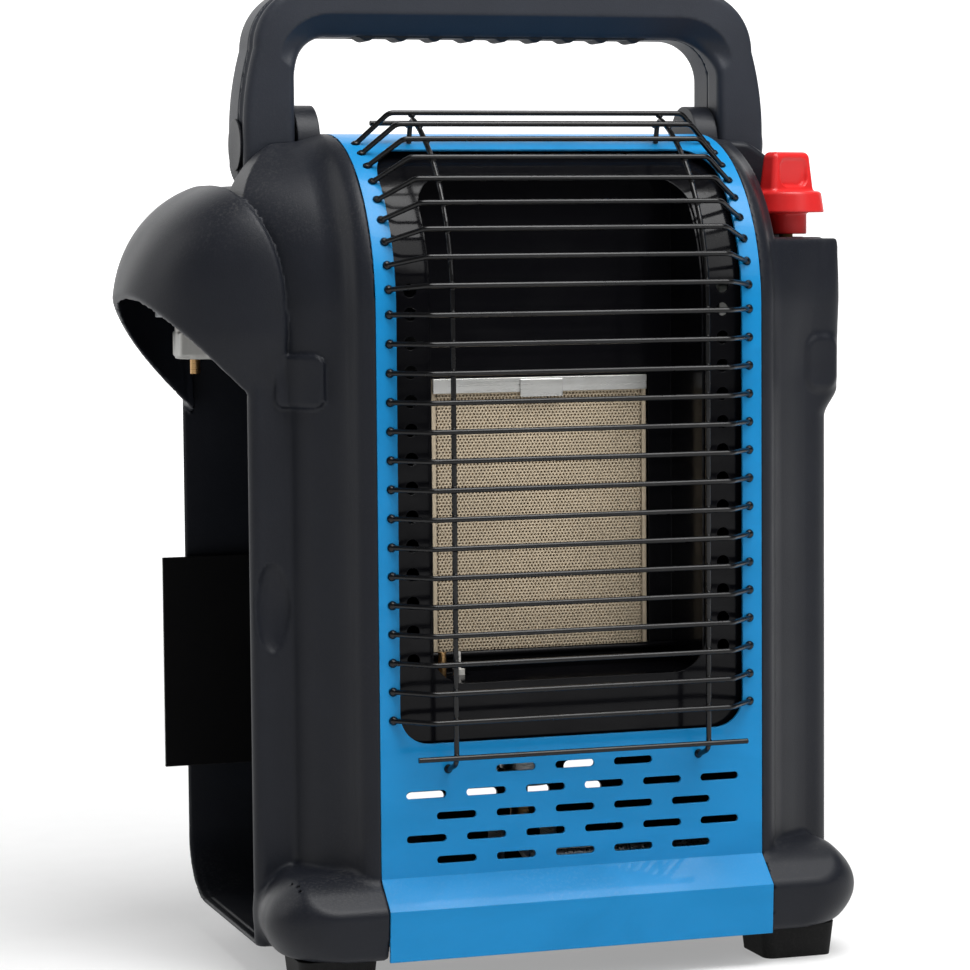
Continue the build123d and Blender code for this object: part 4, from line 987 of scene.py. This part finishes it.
def make_grille():
    """Bent bars, two uprights welded inside them, and a straight wire at each upright's end."""
    points, edges, weld, collar, out = [], [], [], [], []

    def add(stop, kind="path"):
        points.append(stop)
        weld.append(1.0 if kind == "weld" else 0.0)
        collar.append(1.0 if kind == "collar" else 0.0)
        out.append(roll_normal(stop[1], stop[2]))

    def path(stops):
        for i, stop in enumerate(stops):
            add(stop)
            if i:
                edges.append((len(points) - 2, len(points) - 1))

    inner = STANDOFF - 2 * WIRE + 0.3
    for index in range(BAR_COUNT):
        middle, end = bar_place(index, STANDOFF), bar_place(index, -1.0)
        path([(-BAR_END, *end), (-BAR_BEND, *middle), (BAR_BEND, *middle), (BAR_END, *end)])
        seat = bar_place(index, 0.35)
        touch = bar_place(index, STANDOFF - WIRE)
        for side in (-1, 1):
            # Points marked 'collar' carry a dark ring of painted shade where the bar enters the blue
            # sheet.
            add((side * (BAR_END - 0.9), *seat), "collar")
            add((side * UPRIGHT_X, *touch), "weld")
    for x in (-UPRIGHT_X, UPRIGHT_X):
        stops = [(x, 1.2, 85.5), (x, -inner, 89.8), (x, -inner, ROLL_START)]
        for step in range(1, 15):
            angle = math.radians(5 * step)
            reach = ROLL + inner
            stops.append((x, ROLL - reach * math.cos(angle), ROLL_START + reach * math.sin(angle)))
        stops.append((x, stops[-1][1] + 3.0, TOP - 4.2))
        path(stops)
        # Points marked 'collar' carry a dark ring of painted shade where the upright enters the blue
        # sheet.
        add((x, -0.35, 86.4), "collar")
        add((x, -STANDOFF + WIRE, LOW_WIRE_Z), "weld")
        add((x, TOP_WIRE_Y, TOP_WIRE_Z - 1.0), "weld")
    for y, z in ((-STANDOFF, LOW_WIRE_Z), (TOP_WIRE_Y, TOP_WIRE_Z)):
        path([(-STRAIGHT_HALF, y, z), (STRAIGHT_HALF, y, z)])
    seed = seed_mesh("grille_paths", points, edges, weld=weld, collar=collar, out=out)
    grille = grown("grille_wires", seed, wire_tree(), Wire_radius=WIRE / 1000, Bend_radius=0.0045,
                   Weld_size=0.0015, Collar_radius=0.0018, Material=FINISHES["black_wire"])
    stand_for(grille, "housing", "black_wire", "grille_front_bars", "grille_top_bars",
              "grille_uprights", "grille_straight_wires")


# ---- screws ---------------------------------------------------------------------------
def screw_field(x, y, z):
    """Pan-head screw with a cross recess; its head rises along Z from the origin."""
    r = np.hypot(x, y)
    head = meet(np.hypot(r, z + 3.4) - 5.2, r - 3.3, 0.5)
    head = meet(head, -z, 0.1)
    depth = z - 0.55
    slots = np.minimum(np.maximum(np.abs(x) - 0.42 - 0.1 * depth, np.abs(y) - 1.9),
                       np.maximum(np.abs(y) - 0.42 - 0.1 * depth, np.abs(x) - 1.9))
    slots = np.maximum(slots, -depth)
    shank = np.maximum(np.maximum(r - 1.6, -6.5 - z), z - 0.2)
    return np.minimum(carve(head, slots, 0.12), shank)


def screw_tree():
    """The screw on every point, its head along the point's aim and its slots turned at random."""
    tree, source, sink = geometry_tree("Screws on points", [
        ("Screw", "NodeSocketObject", None), ("Seed", "NodeSocketInt", 11),
        ("Material", "NodeSocketMaterial", None)])
    w = Wiring(tree)
    model = w.node("GeometryNodeObjectInfo", transform_space="ORIGINAL")
    w.feed(model.inputs["Object"], source["Screw"])
    screws = placed(w, source["Geometry"], model.outputs["Geometry"],
                    aim=named_attribute(w, "aim", "FLOAT_VECTOR"), seed=source["Seed"])
    finish_tree(w, screws, sink, source["Material"])
    return tree


def make_screws():
    """One modelled screw, set on the places of the rear cover, the base and the handle."""
    model = skin_mesh("screw_model", screw_field, (-3.4, -3.4, -6.5), (3.4, 3.4, 1.9), 0.34)
    for vertex in model.data.vertices:
        vertex.co -= place(0, 0, 0)
    tree = screw_tree()
    rear = [(side * 74.0, BACK, z) for side in (-1, 1) for z in (30, 150, 262)]
    base = [(-60, 4, FLOOR), (72, 4, FLOOR), (-50, 152, FLOOR), (50, 152, FLOOR)]
    grip = [(x, 102.25, z) for x, z in HANDLE_SCREWS]
    for name, body, places, aim, node in (
            ("rear_screws", "housing", rear, (0, 1, 0), "rear_cover_screws"),
            ("floor_screws", "housing", base, (0, 0, -1), "base_screws"),
            ("handle_cross_screws", "handle", grip, (0, 1, 0), "handle_screws")):
        seed = seed_mesh(name + "_places", places, aim=[aim] * len(places))
        piece = grown(name, seed, tree, Screw=model, Seed=11, Material=FINISHES["bright_steel"])
        stand_for(piece, body, "bright_steel", node)
    bpy.data.objects.remove(model)


# ---- burner tile ----------------------------------------------------------------------
TILE_HALF, TILE_LOW, TILE_HIGH, TILE_BACK = 46.0, 112.0, 244.0, 53.0
TILE_BORDER = 2.0
HOLE_PITCH, HOLE_RADIUS, HOLE_DEPTH = 1.46, 0.44, 1.6


def flame_hole():
    """One hexagonal cell of the tile's face with its six-sided flame hole, facing -Y."""
    mesh = bpy.data.meshes.new("flame_hole")
    bm = bmesh.new()
    rings = []
    for reach, back in ((HOLE_PITCH / math.sqrt(3) * 1.002, 0.0), (HOLE_RADIUS * 1.15, 0.0),
                        (HOLE_RADIUS * 0.9, HOLE_DEPTH)):
        rings.append([bm.verts.new((reach * math.cos(math.radians(30 + 60 * i)) / 1000, back / 1000,
                                    reach * math.sin(math.radians(30 + 60 * i)) / 1000))
                      for i in range(6)])
    for a, b in zip(rings, rings[1:]):
        for i in range(6):
            bm.faces.new((a[i], a[(i + 1) % 6], b[(i + 1) % 6], b[i]))
    bm.faces.new(rings[-1])
    bm.to_mesh(mesh)
    bm.free()
    cell = bpy.data.objects.new("flame_hole", mesh)
    bpy.context.scene.collection.objects.link(cell)
    return cell


def tile_tree():
    """Flame holes on every point, joined to the fired body of the tile."""
    tree, source, sink = geometry_tree("Flame holes", [
        ("Cell", "NodeSocketObject", None), ("Body", "NodeSocketObject", None),
        ("Material", "NodeSocketMaterial", None)])
    w = Wiring(tree)
    cell = w.node("GeometryNodeObjectInfo", transform_space="ORIGINAL")
    w.feed(cell.inputs["Object"], source["Cell"])
    body = w.node("GeometryNodeObjectInfo", transform_space="ORIGINAL")
    w.feed(body.inputs["Object"], source["Body"])
    holes = placed(w, source["Geometry"], cell.outputs["Geometry"])
    whole = w.node("GeometryNodeJoinGeometry")
    w.tree.links.new(holes, whole.inputs[0])
    w.tree.links.new(body.outputs["Geometry"], whole.inputs[0])
    finish_tree(w, whole.outputs[0], sink, source["Material"])
    return tree


def tile_body():
    """The tile as a block with a narrow border round a sunken face."""
    mesh = bpy.data.meshes.new("tile_body")
    bm = bmesh.new()

    def corners(inset, y):
        low_x, high_x = -TILE_HALF + inset, TILE_HALF - inset
        low_z, high_z = TILE_LOW + inset, TILE_HIGH - inset
        return [bm.verts.new(place(x, y, z)) for x, z in
                ((low_x, low_z), (high_x, low_z), (high_x, high_z), (low_x, high_z))]

    rings = [corners(0.0, TILE_BACK), corners(0.0, TILE_FRONT + 0.5), corners(0.5, TILE_FRONT),
             corners(TILE_BORDER, TILE_FRONT), corners(TILE_BORDER, TILE_FRONT + 2.1)]
    for a, b in zip(rings, rings[1:]):
        for i in range(4):
            bm.faces.new((a[i], a[(i + 1) % 4], b[(i + 1) % 4], b[i]))
    bm.faces.new(rings[-1])
    bm.faces.new(rings[0][::-1])
    bmesh.ops.recalc_face_normals(bm, faces=bm.faces)
    bm.to_mesh(mesh)
    bm.free()
    body = bpy.data.objects.new("tile_body", mesh)
    bpy.context.scene.collection.objects.link(body)
    return body


def make_tile():
    """Rows of flame holes over the sunken face, every second row shifted by half a pitch."""
    body, cell = tile_body(), flame_hole()
    places = []
    row, z = 0, TILE_LOW + TILE_BORDER + HOLE_PITCH * 0.6
    while z < TILE_HIGH - TILE_BORDER - HOLE_PITCH * 0.5:
        x = -TILE_HALF + TILE_BORDER + HOLE_PITCH * (0.55 + 0.5 * (row % 2))
        while x < TILE_HALF - TILE_BORDER - HOLE_PITCH * 0.45:
            places.append((x, TILE_FRONT + 0.02, z))
            x += HOLE_PITCH
        row += 1
        z += HOLE_PITCH * math.sqrt(3) / 2
    seed = seed_mesh("tile_holes", places)
    tile = grown("burner_tile_face", seed, tile_tree(), Cell=cell, Body=body,
                 Material=FINISHES["ceramic_tile"])
    bpy.data.objects.remove(cell)
    bpy.data.objects.remove(body)
    stand_for(tile, "housing", "ceramic_tile", "burner_tile")


# ---- tile sill ------------------------------------------------------------------------
SILL_HALF, SILL_LOW, SILL_BACK = 57.5, 118.5, 38.9


def sill_field(x, y, z):
    """Pressed channel under the tile, its top edge rolled forward."""
    sheet = cuboid(x, y, z, (-SILL_HALF, SILL_BACK - 1.0, SILL_LOW), (SILL_HALF, SILL_BACK, 126.4), 0.3)
    roll = np.maximum(np.hypot(y - 37.5, z - 126.0) - 1.4, np.abs(x) - SILL_HALF)
    return join(sheet, roll, 0.6)


def make_sill():
    """A piece of the looks alone: no CAD node stands behind it."""
    sill = skin_mesh("tile_sill", sill_field, (-SILL_HALF, 36.1, SILL_LOW),
                     (SILL_HALF, SILL_BACK, 127.4), 0.7)
    sill.data.materials.append(FINISHES["black_enamel"])
    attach(sill, "housing")


# ---- regulator nut --------------------------------------------------------------------
NUT_X, NUT_Y, NUT_LOW, NUT_HIGH = -124.0, 90.0, 245.0, 262.0
HALF_FLATS, THREAD_RADIUS, THREAD_PITCH = 14.2, 12.7, 1.27


def nut_field(x, y, z):
    """Hexagonal nut with rounded corners, a collar and a threaded bore."""
    px, py = x - NUT_X, y - NUT_Y
    r = np.hypot(px, py)
    flats = np.maximum(np.abs(px), np.abs(px * 0.5 + py * 0.866))
    flats = np.maximum(flats, np.abs(px * 0.5 - py * 0.866)) - HALF_FLATS
    hexagon = meet(flats, r - 15.7, 0.8)
    hexagon = meet(hexagon, np.maximum(246.0 - z, z - 256.0), 0.8)
    collar = meet(r - 14.3, np.maximum(NUT_LOW - z, z - NUT_HIGH), 0.7)
    form = join(hexagon, collar, 0.4)
    turns = (z / THREAD_PITCH + np.arctan2(py, px) / (2 * math.pi)) % 1.0
    bore = r - THREAD_RADIUS - 0.35 * np.abs(turns - 0.5)
    bore = np.maximum(bore, z - 258.0)
    form = np.maximum(form, -bore)
    form = np.maximum(form, -np.maximum(r - 11.05, z - 260.05))
    return np.maximum(form, 2.05 - r)


def make_nut():
    """The cylinder's nut, in a duller steel than the other bright parts."""
    nut = skin_mesh("regulator_hex_nut", nut_field, (NUT_X - 16, NUT_Y - 16, NUT_LOW),
                    (NUT_X + 16, NUT_Y + 16, NUT_HIGH), 0.6)
    stand_for(nut, "regulator", "bright_steel", "regulator_nut")
    nut.data.materials[0] = metal("Dull nut steel", (0.26, 0.26, 0.25, 1.0), 0.36,
                                  (900.0, 900.0, 60.0))


make_side_shells()
make_handle()
make_grip()
make_knob()
make_grille()
make_screws()
make_tile()
make_sill()
make_nut()


# ---- stage, light and camera ----------------------------------------------------------
def grey(value):
    """Neutral colour."""
    return (value, value, value, 1.0)


def make_floor():
    """Pale sweep: a floor that curves up far behind the heater and glows brighter far away."""
    mesh = bpy.data.meshes.new("studio_floor")
    bm = bmesh.new()
    size, bend, steps = 3.2, 1.2, 12
    profile = [(-size, 0.0), (size - bend, 0.0)]
    for i in range(1, steps + 1):
        a = math.radians(90 * i / steps)
        profile.append((size - bend + bend * math.sin(a), bend * (1 - math.cos(a))))
    profile.append((size, 4.0))
    rows = [[bm.verts.new((x, y, z)) for y, z in profile] for x in (-4.5, 4.5)]
    for i in range(len(profile) - 1):
        bm.faces.new((rows[0][i], rows[1][i], rows[1][i + 1], rows[0][i + 1]))
    bm.to_mesh(mesh)
    bm.free()
    floor = bpy.data.objects.new("studio_floor", mesh)
    for polygon in mesh.polygons:
        polygon.use_smooth = True
    bpy.context.scene.collection.objects.link(floor)
    f = Finish("Studio paper", Specular_IOR_Level=0.1)
    grain = f.noise(f.at, 60.0, 4.0)
    reach = f.node("ShaderNodeVectorMath", operation="LENGTH")
    f.feed(reach.inputs[0], f.at)
    f.shader.inputs["Emission Strength"].default_value = 1.0
    floor.data.materials.append(f.into(
        Base_Color=f.mix(grain, grey(0.53), grey(0.57)),
        Emission_Color=f.mix(f.span(reach.outputs["Value"], 0.5, 2.2), grey(0.34), grey(1.0)),
        Roughness=f.span(grain, 0.3, 0.7, 0.78, 0.86)))


def area_light(name, at, aim, width, height, power):
    """Rectangular lamp in metres and watts, turned towards its aim."""
    data = bpy.data.lights.new(name, "AREA")
    data.shape = "RECTANGLE"
    data.size = width
    data.size_y = height
    data.energy = power
    lamp = bpy.data.objects.new(name, data)
    lamp.location = at
    lamp.rotation_euler = (Vector(aim) - Vector(at)).to_track_quat("-Z", "Y").to_euler()
    bpy.context.scene.collection.objects.link(lamp)


def make_studio():
    """Pale to the camera, dim to the heater, which the four lamps light."""
    world = bpy.data.worlds.new("Studio")
    world.use_nodes = True
    w = Wiring(world.node_tree)
    dim, pale = world.node_tree.nodes["Background"], w.node("ShaderNodeBackground")
    for shade, strength in ((dim, 0.07), (pale, 1.0)):
        shade.inputs["Color"].default_value = grey(1.0)
        shade.inputs["Strength"].default_value = strength
    seen = w.node("ShaderNodeMixShader")
    w.feed(seen.inputs["Fac"], w.node("ShaderNodeLightPath").outputs["Is Camera Ray"])
    w.tree.links.new(dim.outputs[0], seen.inputs[1])
    w.tree.links.new(pale.outputs[0], seen.inputs[2])
    w.tree.links.new(seen.outputs[0], world.node_tree.nodes["World Output"].inputs["Surface"])
    bpy.context.scene.world = world
    area_light("Key", (1.0, -1.7, 1.5), (0, 0, 0.24), 1.0, 1.2, 13)
    area_light("Fill", (-1.5, -1.5, 0.9), (0, 0, 0.2), 0.8, 1.4, 1.5)
    area_light("Edge", (-1.5, 0.5, 0.9), (0, 0.05, 0.22), 0.5, 1.3, 6)
    area_light("Top", (0.3, -0.6, 1.8), (0, 0, 0.3), 1.2, 1.2, 46)


def make_camera():
    """The heater seen from a little to its left and slightly above."""
    azimuth, elevation, roll = 0.31462, 0.07935, -0.0081
    distance, focal_pixels, picture_pixels = 1300.0, 3336.1, 970
    target = Vector((-36.45, 0.0, 197.06))
    ahead = Vector((math.sin(azimuth) * math.cos(elevation),
                    math.cos(azimuth) * math.cos(elevation), -math.sin(elevation)))
    right = Vector((math.cos(azimuth), -math.sin(azimuth), 0.0))
    up = right.cross(ahead)
    right, up = (right * math.cos(roll) + up * math.sin(roll),
                 up * math.cos(roll) - right * math.sin(roll))
    data = bpy.data.cameras.new("Camera")
    data.sensor_width = 36.0
    data.lens = focal_pixels / picture_pixels * data.sensor_width
    data.clip_start = 0.05
    data.clip_end = 50.0
    camera = bpy.data.objects.new("Camera", data)
    turn = Matrix((right, up, -ahead)).transposed().to_4x4()
    camera.matrix_world = Matrix.Translation(place(*(target - ahead * distance))) @ turn
    bpy.context.scene.collection.objects.link(camera)
    bpy.context.scene.camera = camera


make_floor()
make_studio()
make_camera()
bpy.context.scene.view_settings.view_transform = "Standard"
